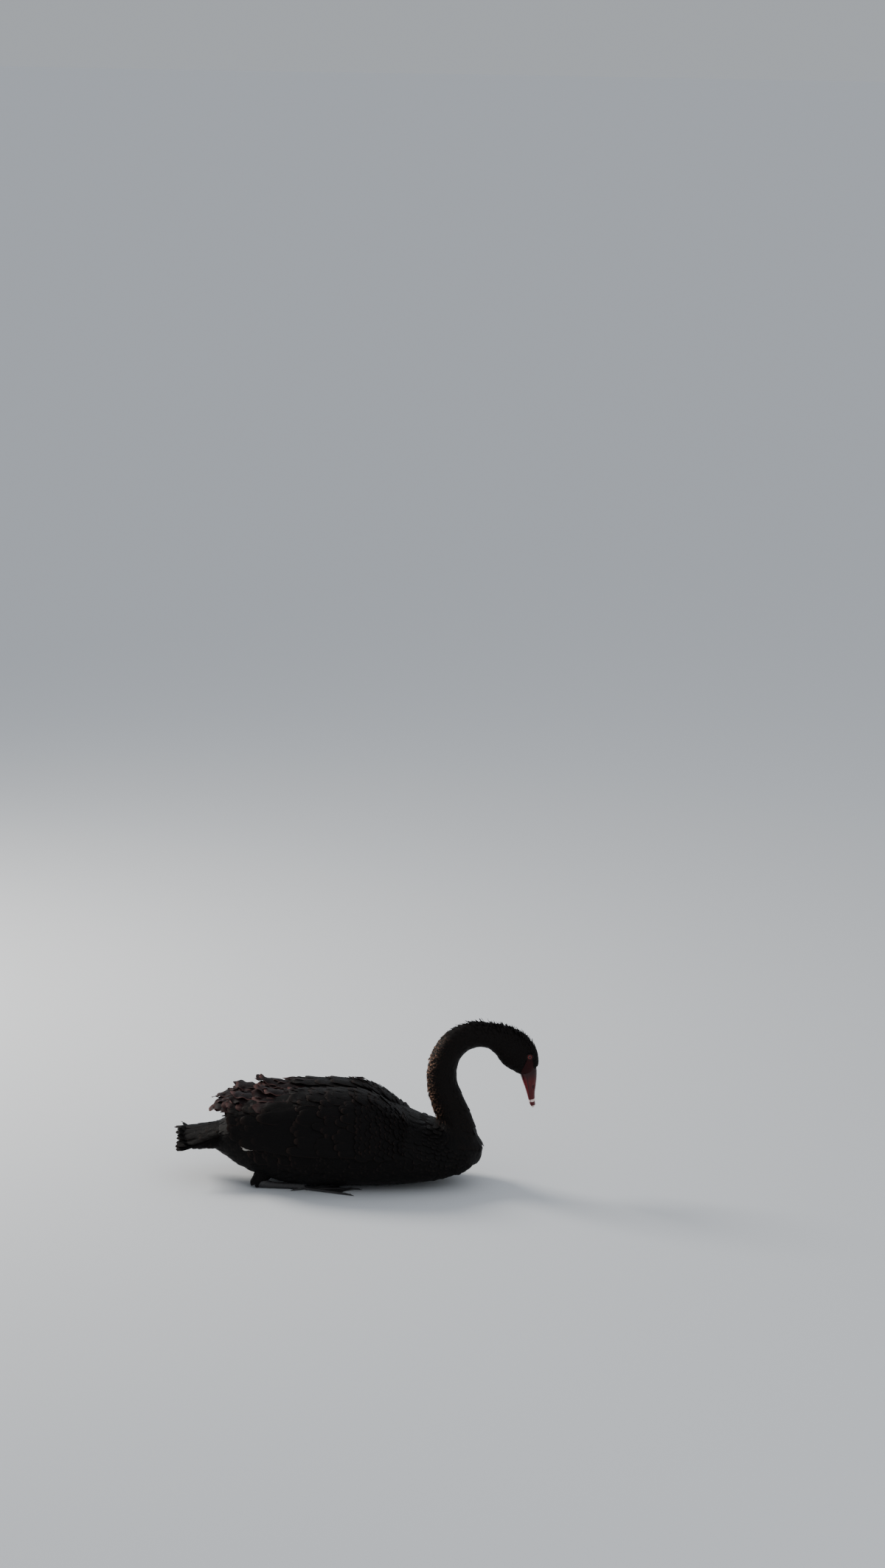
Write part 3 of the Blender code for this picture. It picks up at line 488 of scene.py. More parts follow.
# %% A coat of feathers as one mesh
def feather_coat(name, roots, finish, chance, rings=4, columns=3, thick=0.0005, cup=0.07,
                 ripple=0.0, ragged=0.05, sharp=60):
    """Point = line(t) + across·v·w(t) + out·(h·sqrt(1-v²) - cup·w·v² + ripple·|v|·sin), with the
    line turning by bend·t and w(t) = min(1, 0.5+1.6t)·sqrt(1-((t-0.62)/0.4)²)."""
    root, way, up = roots["root"], roots["way"], roots["up"]
    length, width, bend = (roots[key][:, None] for key in ("length", "width", "bend"))
    count = len(root)
    share = 1 - (1 - np.linspace(0, 1, rings + 2)) ** 1.35
    middle = (share[1:] + share[:-1]) / 2
    turn = np.radians(bend) * middle
    steps = (np.cos(turn)[..., None] * way[:, None] + np.sin(turn)[..., None] * up[:, None])
    steps = steps * (np.diff(share) * length)[..., None]
    line = root[:, None] + np.concatenate([np.zeros((count, 1, 3)), np.cumsum(steps, 1)], 1)
    across = np.cross(up, way)[:, None]
    lift = unit(np.cross(unit(steps[:, :-1] + steps[:, 1:]), across))
    t = share[1:-1]
    outline = np.minimum(1, 0.5 + 1.6 * t) * np.sqrt(1 - np.clip((t - 0.62) / 0.4, 0, 1) ** 2)
    half = width / 2 * outline * (1 + ragged * chance.uniform(-1, 1, (count, rings)))
    v = np.linspace(-1, 1, columns)
    v = np.concatenate([v, v[-2:0:-1]])
    face = np.concatenate([np.ones(columns), -np.ones(columns - 2)])
    height = face * np.sqrt(1 - v**2) * thick / 2
    phase = chance.uniform(0, 6.28, (count, 1, 1)) + (v > 0) * 2.2
    pace = roots.get("pace", np.full(count, 18.0))[:, None, None] * chance.uniform(0.8, 1.2, (count, 1, 1))
    wave = np.sin(t[None, :, None] * pace + phase) * np.abs(v) ** 1.5 * np.sqrt(t)[None, :, None]
    amount = roots.get("ripple", np.full(count, ripple))[:, None, None]
    rolled = roots.get("cup", np.full(count, cup))[:, None, None]
    out = height - rolled * half[..., None] * v**2 + amount * wave
    points = (line[:, 1:-1, None] + across[:, :, None] * (half[..., None] * v)[..., None]
              + lift[:, :, None] * out[..., None])
    sides = len(v)
    points = np.concatenate([points.reshape(count, -1, 3), line[:, :1], line[:, -1:]], 1)
    quads = grid_faces(rings, sides, True)
    first, last = np.arange(sides), np.arange(sides) + (rings - 1) * sides
    one = np.concatenate([
        quads[:, [0, 1, 2]], quads[:, [0, 2, 3]],
        np.stack([np.roll(first, -1), np.full(sides, rings * sides), first], 1),
        np.stack([last, np.full(sides, rings * sides + 1), np.roll(last, -1)], 1)])
    one = outward(points[0], one)
    faces = (one[None] + (np.arange(count) * points.shape[1])[:, None, None]).reshape(-1, 3)
    uv = np.concatenate([np.stack([np.tile((v + 1) / 2, rings), np.repeat(t, sides)], 1), [[0.5, 0], [0.5, 1]]])
    bake = roots["patch"][:, None] + 0.003 * (uv - 0.5)
    tint = np.repeat(roots.get("tint", np.ones(count)) * chance.uniform(0, 1, count), points.shape[1])
    return add_mesh(name, points.reshape(-1, 3), faces, finish, np.tile(uv, (count, 1)),
                    bake.reshape(-1, 2), tint, sharp)


print("a small feather has", 2 * 4 * 3 + 2 * 4, "triangles")

# %% [markdown]
# ## Where feathers grow
# Feathers grow in rows, each row half a step aside from the last, like roof tiles. For each row
# the girth is measured along the surface and divided evenly, so the spacing stays the same on a
# thick breast and a thin neck. At each root two small steps along the surface give the way out,
# and the lie of the coat is a direction laid flat on the surface.


# %% Rows of roots and the lie of the coat
def even_places(curve, low, high, pitch):
    """Parameters a pitch apart along a curve: every step ds counts for ds/pitch rows, and a row
    is set at each half number. The pitch may be a function of the parameter."""
    fine = np.linspace(low, high, 900)
    steps = np.linalg.norm(np.diff(curve(fine), axis=0), axis=1)
    gap = pitch(fine[:-1]) if callable(pitch) else pitch
    count = np.concatenate([[0], np.cumsum(steps / gap)])
    return np.interp(np.arange(0.5, count[-1], 1.0), count, fine)


def rows_of_roots(surface, rows, low, high, spacing, chance):
    """Both parameters of roots spaced evenly in each row, every second row set aside by half."""
    fine = np.linspace(low, high, 90)
    found = []
    for k, row in enumerate(rows):
        points = surface(np.full(90, row), fine)
        length = np.concatenate([[0], np.cumsum(np.linalg.norm(np.diff(points, axis=0), axis=1))])
        gap = spacing(row) if callable(spacing) else spacing
        number = max(1, round(length[-1] / gap))
        at = (np.arange(number) + 0.25 + 0.5 * (k % 2) + chance.uniform(-0.16, 0.16, number)) / number
        found.append(np.stack([np.full(number, row), np.interp(at * length[-1], length, fine)], 1))
    return np.concatenate(found).T


def planted(surface, u, v, sign, lie, *sizes, step=1e-3):
    """Roots on a surface of two parameters, where out = ±(dS/du × dS/dv)."""
    here = surface(u, v)
    along = surface(u + step, v) - surface(u - step, v)
    aside = surface(u, v + step) - surface(u, v - step)
    return rooted(here, unit(np.cross(along, aside)) * sign, lie(here, along, aside), *sizes)


def rooted(here, out, field, depth, length, width, rise, bend, turn=0.0):
    """Roots at depth under given points. The way is the lie's direction less its part along out,
    turned within the surface, and raised by the rise in degrees."""
    way = unit(field - out * (field * out).sum(-1, keepdims=True))
    beside = np.cross(out, way)
    whole = np.ones(len(here))
    spin, climb = np.radians(turn * whole)[:, None], np.radians(rise * whole)[:, None]
    way = way * np.cos(spin) + beside * np.sin(spin)
    return {"root": here - out * (depth * whole)[:, None], "way": way * np.cos(climb) + out * np.sin(climb),
            "up": out * np.cos(climb) - way * np.sin(climb), "out": out,
            "length": length * whole, "width": width * whole, "bend": bend * whole}


def laid(roots, surface, u, v, lift, step=2e-3):
    """Bends each feather so that its tip lies lift above the surface. The tip's parameters come
    from way·length = A·du + B·dv, and the chord from root to tip makes half of the whole turn."""
    def slopes(u, v):
        return ((surface(u + step, v) - surface(u - step, v)) / (2 * step),
                (surface(u, v + step) - surface(u, v - step)) / (2 * step))

    def dot(a, b):
        return (a * b).sum(-1)
    a, b = slopes(u, v)
    flat = unit(roots["way"] - roots["out"] * dot(roots["way"], roots["out"])[:, None]) * roots["length"][:, None]
    scale = dot(a, a) * dot(b, b) - dot(a, b) ** 2
    u = u + (dot(flat, a) * dot(b, b) - dot(flat, b) * dot(a, b)) / scale
    v = v + (dot(flat, b) * dot(a, a) - dot(flat, a) * dot(a, b)) / scale
    out = unit(np.cross(*slopes(u, v)))
    out = out * np.sign(dot(out, roots["out"]))[:, None]
    chord = surface(u, v) + out * (lift * np.ones(len(u)))[:, None] - roots["root"]
    roots["bend"] = np.degrees(2 * np.arctan2(dot(chord, roots["up"]), dot(chord, roots["way"])))
    return roots


def kept(roots, mask):
    return {key: value[mask] for key, value in roots.items()}


def varied(roots, chance, length=0.08, width=0.06, lean=2.0):
    """Small differences in length, width and bend, and a slight roll of each feather."""
    count = len(roots["root"])
    roots["length"] = roots["length"] * (1 + chance.uniform(-length, length, count))
    roots["width"] = roots["width"] * (1 + chance.uniform(-width, width, count))
    roots["bend"] = roots["bend"] + chance.uniform(-lean, lean, count) * 2
    spin = np.radians(chance.uniform(-lean, lean, count))[:, None] * 2
    side = np.cross(roots["up"], roots["way"])
    roots["up"] = unit(roots["up"] * np.cos(spin) + side * np.sin(spin))
    return roots


print("rows on the neck, 6 mm apart:", len(even_places(
    lambda s: spine_surface(s, 0 * s), 0.1, HEAD_START, 0.006)))

# %% [markdown]
# ## The skin, and one outline where neck and body join
# One closed skin runs from tail root to bill, inside the feathers by their depth. The body and the
# neck are two closed shapes that overlap, so they are joined and remeshed into one. Round the
# joint every point then moves again and again toward the mean of its neighbours, so the neck grows
# out of the breast with no collar. The outline of the feathers is made the same way, at no depth.

# %% Shells of body and neck
COAT = 0.0042
JOINT, JOINT_REACH = np.array((0.232, 0.0, 0.106)), (0.055, 0.085)


def torso_shell(inset, rings=70, sides=72):
    reach = (TORSO_ENDS[1] - TORSO_ENDS[0]) / 2 - inset
    x = (TORSO_ENDS[1] + TORSO_ENDS[0]) / 2 + reach * np.sin(np.linspace(-1.5, 1.5, rings))
    angle = np.arange(sides) * 2 * math.pi / sides
    points = torso_surface(x[:, None], angle[None], inset)
    return closed_tube(points, points[0].mean(0), points[-1].mean(0))


def spine_shell(inset, low=0.0, high=1.0, rings=110, sides=48):
    angle = np.arange(sides) * 2 * math.pi / sides
    share = np.linspace(low, high, rings)
    depth = inset * np.interp(share, (0.74, 0.92), (1.0, 0.35))
    points = spine_surface(share[:, None], angle[None], depth[:, None])
    return closed_tube(points, points[0].mean(0), points[-1].mean(0))


def read(mesh, elements, key, width, kind=np.float32):
    values = np.empty(width * len(elements), kind)
    elements.foreach_get(key, values)
    return values.reshape(-1, width)


def softened(points, edges, weight, rounds):
    """p <- p + weight·(mean of the neighbours - p)/2, again and again."""
    ends = np.concatenate([edges, edges[:, ::-1]])
    degree = np.bincount(ends[:, 0], minlength=len(points))[:, None]
    for _ in range(rounds):
        total = np.stack([np.bincount(ends[:, 0], points[ends[:, 1], k], len(points)) for k in range(3)], 1)
        points = points + weight[:, None] * (total / degree - points) / 2
    return points


def joined_shell(name, inset):
    body, body_faces = torso_shell(inset)
    neck, neck_faces = spine_shell(inset)
    shell = add_mesh(name, np.concatenate([body, neck]), np.concatenate([body_faces, neck_faces + len(body)]),
                     skin_finish)
    remesh = shell.modifiers.new("one skin", "REMESH")
    remesh.mode, remesh.voxel_size = "VOXEL", 0.003
    shell.data = bpy.data.meshes.new_from_object(shell.evaluated_get(bpy.context.evaluated_depsgraph_get()))
    shell.modifiers.clear()
    mesh = shell.data
    points = read(mesh, mesh.vertices, "co", 3).astype(float)
    edges = read(mesh, mesh.edges, "vertices", 2, np.int32)
    points = softened(points, edges, np.ones(len(points)), 4)
    off = np.linalg.norm(points - JOINT, axis=1)
    weight = np.interp(off, JOINT_REACH, (1, 0)) * np.interp(points[:, 0], (0.188, 0.215), (0.05, 1))
    points = softened(points, edges, weight, 90)
    mesh.vertices.foreach_set("co", points.astype(np.float32).ravel())
    mesh.update()
    mesh.shade_smooth()
    return shell


skin = joined_shell("body_skin", COAT)
place(skin, "body_plumage", "torso", "neck", "head")
shape = joined_shell("outline", 0.0)
outline_points = read(shape.data, shape.data.vertices, "co", 3).astype(float)
outline_normals = read(shape.data, shape.data.vertex_normals, "vector", 3).astype(float)
bpy.data.objects.remove(shape)
print("outline:", len(outline_points), "points")

# %% [markdown]
# Feathers near the joint grow on that outline. Each root takes its height and its way out from the
# few outline points nearest to it, and the lie of the neck's feathers fades into that of the body.

# %% Roots near the joint
def neck_distance(points):
    """|p - c| less the ellipse's radius that way, c being the nearest place on the neck's line,
    and the way down that line."""
    share = np.linspace(0, 1, 400)
    row = eased(share, SPINE_PLACES, SPINE)
    best = np.hypot(points[:, None, 0] - row[:, 0], points[:, None, 2] - row[:, 1]).argmin(1)
    way = -unit(np.gradient(row[:, :2], axis=0))[best]
    row = row[best]
    flat = np.hypot(points[:, 0] - row[:, 0], points[:, 2] - row[:, 1])
    whole = np.hypot(flat, points[:, 1])
    reach = np.hypot(flat / row[:, 2], points[:, 1] / row[:, 3])
    return whole - whole / np.maximum(reach, 1e-6), np.stack([way[:, 0], 0 * flat, way[:, 1]], 1)


def inside_torso(points, slack):
    row = eased(points[:, 0], TORSO[:, 0], TORSO)
    above = points[:, 2] > row[:, 4]
    power = np.where(above, BACK_FULLNESS, BELLY_FULLNESS)
    rise = np.where(above, row[:, 2] - row[:, 4], row[:, 4] - row[:, 3]) - slack
    wide = np.abs(points[:, 1]) / np.maximum(row[:, 1] - slack, 1e-4)
    tall = np.abs(points[:, 2] - row[:, 4]) / np.maximum(rise, 1e-4)
    return (wide**power + tall**power < 1) & (points[:, 0] < TORSO_ENDS[1] - slack)


def body_lie(here, along, aside):
    """Back and a little down, and steeply down over the breast, on from the neck's feathers."""
    down = np.interp(here[:, 0], (-0.1, 0.15, 0.21, 0.25, 0.287), (0.06, 0.20, 0.6, 2.0, 4.0))
    return unit(np.stack([-np.ones(len(here)), 0 * down, -down], 1))


def with_joint(here, out, field):
    """p <- p - n·((p - c)·n), c and n being weighted means of the six nearest outline points."""
    near = np.linalg.norm(here - JOINT, axis=1) < JOINT_REACH[1] + 0.01
    local = np.linalg.norm(outline_points - JOINT, axis=1) < JOINT_REACH[1] + 0.03
    spots, normals = outline_points[local], outline_normals[local]
    gap = np.linalg.norm(here[near][:, None] - spots, axis=2)
    nearest = np.argpartition(gap, 6, axis=1)[:, :6]
    weight = 1 / (np.take_along_axis(gap, nearest, 1) + 0.001)
    weight = (weight / weight.sum(1, keepdims=True))[..., None]
    middle, normal = (spots[nearest] * weight).sum(1), unit((normals[nearest] * weight).sum(1))
    here[near] -= normal * ((here[near] - middle) * normal).sum(1, keepdims=True)
    out[near] = normal
    off, down = neck_distance(here[near])
    share = np.clip(1 - off / 0.040, 0, 1)[:, None]
    share = share**2 * (3 - 2 * share)
    field[near] = share * down + (1 - share) * body_lie(here[near], 0, 0)
    return here, out, field


# %% [markdown]
# ## Feathers of the body
# Body feathers lie back and slightly down, away from the neck. None grow where the wing covers the
# flank or where the neck springs out, so those roots are dropped by asking the wing's lower edge
# and the neck's own line.

# %% Body feathers
chance = np.random.default_rng(21)


def under_wing(points):
    """True where the folded wing covers the body."""
    row = eased(-points[:, 0], -WING[:, 0], WING)
    within = (points[:, 0] < 0.118) & (points[:, 0] > -0.215)
    return within & (points[:, 2] > row[:, 6] + 0.012) & (np.abs(points[:, 1]) > 0.026)


rows = even_places(lambda x: torso_surface(x, 1.2 + 0 * x), -0.240, 0.2868, 0.0076)
x, angle = rows_of_roots(torso_surface, rows, -math.pi, math.pi, 0.0088, chance)
here = torso_surface(x, angle)
outside = neck_distance(here)[0] > np.interp(x, (0.20, 0.22), (0.003, -0.003))
x, angle, here = x[outside], angle[outside], here[outside]
out = unit(np.cross(torso_surface(x + 2e-4, angle) - here, torso_surface(x, angle + 2e-4) - here))
here, out, field = with_joint(here, out, body_lie(here, 0, 0))
body_roots = rooted(here, out, field, COAT - 0.0006, 0.0290, 0.0140, np.interp(x, (0.21, 0.26), (7, 4)),
                    np.interp(x, (0.21, 0.26, 0.28), (-7, -14, -34)), chance.uniform(-8, 8, len(x)))
body_roots["patch"] = np.stack([(x - TORSO_ENDS[0]) / 0.54, angle / 6.3 + 0.5], 1)
body_roots["root"][:, 2] = np.maximum(body_roots["root"][:, 2], 0.0018)
belly = np.interp(body_roots["root"][:, 2], (0.004, 0.03), (0.5, 1.0))
body_roots["length"] *= belly * np.interp(x, (-0.2, 0.1, 0.27), (1.1, 1.0, 0.72))
body_roots["width"] *= np.interp(x, (0.1, 0.27), (1.0, 0.8))
body_roots = varied(kept(body_roots, ~under_wing(body_roots["root"])), chance)
flat = body_roots["root"][:, 2] < 0.006
body_roots["way"][flat, 2] = 0.02
body_roots["way"] = unit(body_roots["way"])
place(feather_coat("body_feathers", body_roots, body_finish, chance), "body_plumage")

# %% [markdown]
# ## Feathers of the neck and head
# They lie from the bill back over the crown and down the neck. They are small and scale-like on the neck and tiny on
# the face. Along the nape, where the neck bends over, their tips stand out, and there a bright orange-brown margin is
# painted on them as a highlight of the light from behind.

# %% Neck and head feathers
def nearest_on_spine(point):
    """The share and angle of the place on the neck and head nearest a point."""
    share, angle = np.meshgrid(np.linspace(0.6, 1, 400), np.linspace(0, math.pi, 240), indexing="ij")
    gap = np.linalg.norm(spine_surface(share, angle) - point, axis=-1)
    best = np.unravel_index(gap.argmin(), gap.shape)
    return share[best], angle[best], gap.min()


EYE = np.array((0.3698, 0.0190, 0.2558))
EYE_FACING = unit(np.array((0.253, 0.945, 0.205)))
eye_share, eye_angle, eye_gap = nearest_on_spine(EYE)
print("eye at share", round(eye_share, 3), "angle", round(math.degrees(eye_angle)), "gap", round(eye_gap * 1000, 2), "mm")


def bare_width(share):
    """Half the width, as an angle, of the bare skin from bill to eye: nothing behind the eye,
    then widening to the root of the bill."""
    t = np.clip((share - eye_share) / (1 - eye_share), 0, 1)
    return np.where(share < eye_share, 0.0, 0.16 + 0.62 * t**1.2)


def bare_middle(share):
    t = np.clip((share - eye_share) / (1 - eye_share), 0, 1)
    return eye_angle + (1.62 - eye_angle) * t


def along_neck(*values):
    """A size given at five places from breast to bill, as a function of the share."""
    return lambda share: np.interp(share, (0.08, 0.30, 0.72, 0.86, 1.0), values)


share_rows = even_places(lambda s: spine_surface(s, 0 * s + 0.6), 0.06, 0.994,
                         along_neck(0.0060, 0.0052, 0.0044, 0.0032, 0.0026))
s, angle = rows_of_roots(spine_surface, share_rows, -math.pi, math.pi,
                         along_neck(0.0072, 0.0060, 0.0054, 0.0037, 0.0024), chance)
here = spine_surface(s, angle)
outside = ~inside_torso(here, np.interp(here[:, 0], (0.205, 0.222), (-0.009, 0.003)))
s, angle, here = s[outside], angle[outside], here[outside]
out = unit(np.cross(spine_surface(s + 1e-3, angle) - here, spine_surface(s, angle + 1e-3) - here))
here, out, field = with_joint(here, out, neck_distance(here)[1])
raised = np.exp(-((angle / 0.85) ** 2)) * np.interp(
    s, (0.14, 0.22, 0.48, 0.56, 0.66, 0.74, 0.86, 0.90, 0.94), (0, 0.7, 0.7, 0.5, 1.6, 2.6, 3.0, 2.4, 0))
raised *= chance.uniform(0.1, 1.4, len(s)) ** 1.5
sizes = [along_neck(*values)(s) for values in (
    (0.0042, 0.0042, 0.0042, 0.0016, 0.0006), (0.0250, 0.0190, 0.0155, 0.0098, 0.0050),
    (0.0122, 0.0090, 0.0078, 0.0047, 0.0023))]
roots = rooted(here, out, field, sizes[0] + 0.0010 * np.clip(raised, 0, 1), sizes[1], sizes[2],
               9.0 + 8.0 * raised, -6.0 + 6 * raised, chance.uniform(-8, 8, len(s)))
roots["patch"] = np.stack([s, angle / 6.3 + 0.5], 1)
# Painted highlight: the neck's bright margins show only where sunlit is high, on the rear edge of the neck that faces
# the key light; elsewhere the tint is near nought.
sunlit = np.exp(-((angle / 0.85) ** 4)) * np.interp(s, (0.14, 0.22, 0.50, 0.60), (0, 1, 1, 0))
roots["tint"] = 0.004 + 1.5 * sunlit
off_eye = np.hypot(here[:, 0] - EYE[0], here[:, 2] - EYE[2])
near_eye = (off_eye < 0.0064) & (np.abs(angle) > 0.5) & (np.abs(angle) < 2.2)
bare = np.abs(np.abs(angle) - bare_middle(s)) < bare_width(s)
for name, mine in (("neck_feathers", s < HEAD_START), ("head_feathers", (s >= HEAD_START) & ~(near_eye | bare))):
    place(feather_coat(name, varied(kept(roots, mine), chance, 0.12), neck_finish, chance), "body_plumage")

# %% [markdown]
# ## The folded wings
# Over the wing's core the feathers lie in tiers: small coverts on the wrist, median and greater
# coverts, secondaries over the white primaries, scapulars along the back. The last of them, the
# tertials, are what a black swan is known for: broad, ruffled and curled up at the rear. A tier is
# one line of sizes, so a wing is easy to thin out, lengthen or ruffle.

# %% Sizes of the wing's tiers
# name, roots' place along, first and last place across, count, length, width, rise, height of the
# tips, turn of the first and last feather, ripple, how far the lowest feather is set back
TIERS = (
    ("secondaries", 0.51, 0.36, 0.97, 15, 0.100, 0.024, 3, 0.0008, -2, 3, 0.0005, 0.05),
    ("rear_secondaries", 0.63, 0.38, 0.96, 14, 0.086, 0.024, 3, 0.0010, 0, 8, 0.0008, 0.04),
    ("last_secondaries", 0.73, 0.42, 0.93, 12, 0.070, 0.023, 4, 0.0014, 0, 12, 0.0012, 0.02),
    ("greater_coverts", 0.39, 0.24, 0.97, 17, 0.076, 0.021, 3, 0.0006, 0, 0, 0.0003, 0.05),
    ("lower_coverts", 0.31, 0.22, 0.96, 17, 0.062, 0.019, 4, 0.0006, 1, 0, 0.0002, 0.05),
    ("median_coverts", 0.24, 0.20, 0.95, 18, 0.050, 0.017, 5, 0.0005, 1, 0, 0.0, 0.05),
    ("upper_coverts", 0.17, 0.20, 0.94, 18, 0.044, 0.016, 5, 0.0005, 2, 0, 0.0, 0.04),
    ("tertials", 0.58, 0.06, 0.52, 10, 0.096, 0.029, 4, 0.0020, 2, -2, 0.0022, 0.0),
    ("middle_tertials", 0.68, 0.06, 0.50, 9, 0.080, 0.030, 5, 0.0028, 2, -3, 0.0030, 0.0),
    ("rear_tertials", 0.78, 0.08, 0.48, 8, 0.066, 0.030, 6, 0.0040, 2, -4, 0.0034, 0.0),
    ("shoulder", 0.03, 0.04, 0.34, 9, 0.050, 0.020, 5, 0.0005, 2, 0, 0.0, 0.0),
    ("front_scapulars", 0.11, 0.05, 0.36, 8, 0.060, 0.022, 4, 0.0005, 2, 0, 0.0, 0.0),
    ("middle_scapulars", 0.19, 0.05, 0.38, 8, 0.066, 0.024, 4, 0.0006, 3, 0, 0.0003, 0.0),
    ("scapulars", 0.28, 0.05, 0.38, 8, 0.070, 0.025, 4, 0.0008, 3, 0, 0.0005, 0.0),
    ("long_scapulars", 0.37, 0.05, 0.40, 8, 0.074, 0.026, 4, 0.0012, 3, 0, 0.0009, 0.0),
    ("rear_scapulars", 0.47, 0.06, 0.42, 8, 0.072, 0.028, 5, 0.0018, 3, -2, 0.0014, 0.0),
)
INNER = (
    ("inner", 0.796, 0.06, 0.90, 16, 0.080, 0.026, 2, -0.0050, 0, 4, 0.0006, -0.085),
    ("inner", 0.789, 0.05, 0.90, 16, 0.080, 0.026, 2, -0.0110, 0, 4, 0.0006, -0.085),
    ("inner", 0.775, 0.04, 0.88, 15, 0.080, 0.026, 2, -0.0180, 0, 4, 0.0006, -0.080),
    ("inner", 0.757, 0.03, 0.86, 14, 0.080, 0.026, 2, -0.0250, 0, 4, 0.0006, -0.075),
    ("inner", 0.738, 0.02, 0.80, 13, 0.080, 0.026, 2, -0.0320, 0, 4, 0.0006, -0.070),
    ("inner", 0.719, 0.02, 0.70, 12, 0.080, 0.026, 2, -0.0390, 0, 4, 0.0006, -0.060),
)
CURLED = ("tertials", "middle_tertials", "rear_tertials")
RUFFLES = (
    (0.685, 0.17, 0.052, 0.030, 20, 12, 0),
    (0.695, 0.27, 0.050, 0.030, 16, 6, -8),
    (0.675, 0.08, 0.048, 0.028, 23, 10, 10),
    (0.660, 0.20, 0.044, 0.028, 36, -40, 4),
    (0.785, 0.19, 0.054, 0.035, 28, -16, 6),
    (0.800, 0.32, 0.052, 0.034, 23, -26, -8),
    (0.790, 0.10, 0.048, 0.031, 30, -18, 12),
    (0.860, 0.09, 0.052, 0.036, 17, -28, 8),
    (0.868, 0.22, 0.054, 0.038, 13, -30, -2),
    (0.876, 0.36, 0.052, 0.038, 6, -12, -8),
    (0.885, 0.45, 0.050, 0.032, 4, -14, -12),
    (0.895, 0.30, 0.054, 0.032, 4, -12, -2),
    (0.480, 0.11, 0.080, 0.009, 6, -9, 9),
    (0.600, 0.17, 0.033, 0.007, 78, -235, 0),
)
LOOSE_ARCH = (0.250, 0.17, 0.044, 0.011, 36, -76, 2)
print(sum(tier[4] for tier in TIERS + INNER) + len(RUFFLES), "large feathers a wing")

# %% [markdown]
# Small coverts come from rows, as on the body. The large ones get more rings and more points
# across, with a sharp crease at their edges, because they are seen one by one.


# %% Wing feathers
def joined(*many):
    return {key: np.concatenate([one[key] for one in many]) for key in many[0]}


def along_wing(here, along, aside):
    return along


def wing_roots(side, along, across, length, width, rise, turn, ripple, depth=0.0045):
    made = planted(lambda a, c: wing_surface(a, c, side), along, across, -side, along_wing, depth,
                   length, width, rise, 0.0, -side * turn)
    made["patch"] = np.stack([along * 0.8 + 0.1, across * 0.9 + 0.05], 1)
    made["ripple"] = ripple * np.ones(len(along))
    made["pace"], made["cup"] = 18.0 + 0 * along, 0.09 + 0 * along
    return made


def tier_roots(side, tier, chance):
    _, along, first, last, count, length, width, rise, lift, turn_a, turn_b, ripple, back = tier
    share = np.linspace(0, 1, count)
    along = along + back * share + chance.uniform(-0.026, 0.026, count)
    across = first + (last - first) * share
    made = wing_roots(side, along, across, length, width, rise + chance.uniform(-0.5, 1, count),
                      turn_a + (turn_b - turn_a) * share + chance.uniform(-2.5, 2.5, count), ripple,
                      np.maximum(0.0045, 0.002 - lift))
    lift = lift + chance.uniform(-0.0004, 0.0004, count)
    made["cup"] = 0.09 + np.where(made["ripple"] > 0.0018, 60 * lift, 0)
    made = laid(made, lambda a, c: wing_surface(a, c, side), along, across, lift)
    return varied(made, chance, 0.07, 0.07, 1.5)


def ruffle_roots(side, chance):
    values = np.array(RUFFLES + ((LOOSE_ARCH,) if side > 0 else ()))
    below = values[values[:, 1] < 0.25][:8] - (0.012, 0.02, 0.002, -0.002, 0, 0, 4)
    below[:, 4:6] *= 0.5
    along, across, length, width, rise, bend, turn = np.concatenate([values, below]).T
    made = wing_roots(side, along, across, length, width, rise, turn, 0.0024, 0.0030)
    made["pace"] = 13.0 + 0 * along
    made["bend"], made["cup"] = bend, np.clip(rise / 170, 0.1, 0.34)
    return varied(made, chance, 0.05, 0.05, 3)


wing_node = {1: "wing_left", -1: "wing_right"}
for side, name in wing_node.items():
    chance = np.random.default_rng(31 + side)
    # the small coverts of the wrist and the shoulder
    rows = even_places(lambda a: wing_surface(a, 0.5 + 0 * a, side), 0.0, 0.24, 0.0090)
    along, across = rows_of_roots(lambda a, c: wing_surface(a, c, side), rows, 0.02, 0.98, 0.0095, chance)
    size = np.interp(along, (0.0, 0.24), (0.8, 1.2))
    coverts = wing_roots(side, along, across, 0.031 * size, 0.0145 * size, 7.0,
                         chance.uniform(-6, 6, len(along)), 0.0, 0.0040)
    coverts = laid(coverts, lambda a, c: wing_surface(a, c, side), along, across, 0.0006)
    place(feather_coat(name + "_coverts", varied(coverts, chance), wing_finish, chance), "wing_plumage")
    large = {"flight": [], "curled": [ruffle_roots(side, chance)]}
    for tier in TIERS + INNER:
        large["curled" if tier[0] in CURLED else "flight"].append(tier_roots(side, tier, chance))
    for kind, finish, rings in (("flight", wing_finish, 16), ("curled", curl_finish, 26)):
        place(feather_coat(f"{name}_{kind}", joined(*large[kind]), finish, chance, rings, 11, 0.0007,
                           ragged=0.03, sharp=50), "wing_plumage")

# %% [markdown]
# Below the folded wing long flank feathers lie over its lower edge, and the white flight feathers
# show only as a sliver behind them. Both grow from the body's side, so they follow its curve.

# %% Flank and flight feathers below the wing
# kind, roots' x, height of the first and last root, count, length, width, height of the tips,
# fall of the first and last feather
FLANK = (
    ("flank", -0.040, 0.098, 0.066, 6, 0.052, 0.020, 0.0040, 0.02, 0.10),
    ("flank", -0.064, 0.100, 0.064, 6, 0.054, 0.021, 0.0045, 0.03, 0.12),
    ("flank", -0.086, 0.103, 0.066, 6, 0.056, 0.022, 0.0050, 0.05, 0.15),
    ("flank", -0.106, 0.107, 0.070, 6, 0.056, 0.022, 0.0055, 0.08, 0.18),
    ("flank", -0.124, 0.112, 0.080, 6, 0.054, 0.022, 0.0060, 0.10, 0.20),
    ("white", -0.108, 0.106, 0.101, 2, 0.081, 0.013, 0.0062, 0.14, 0.18),
)


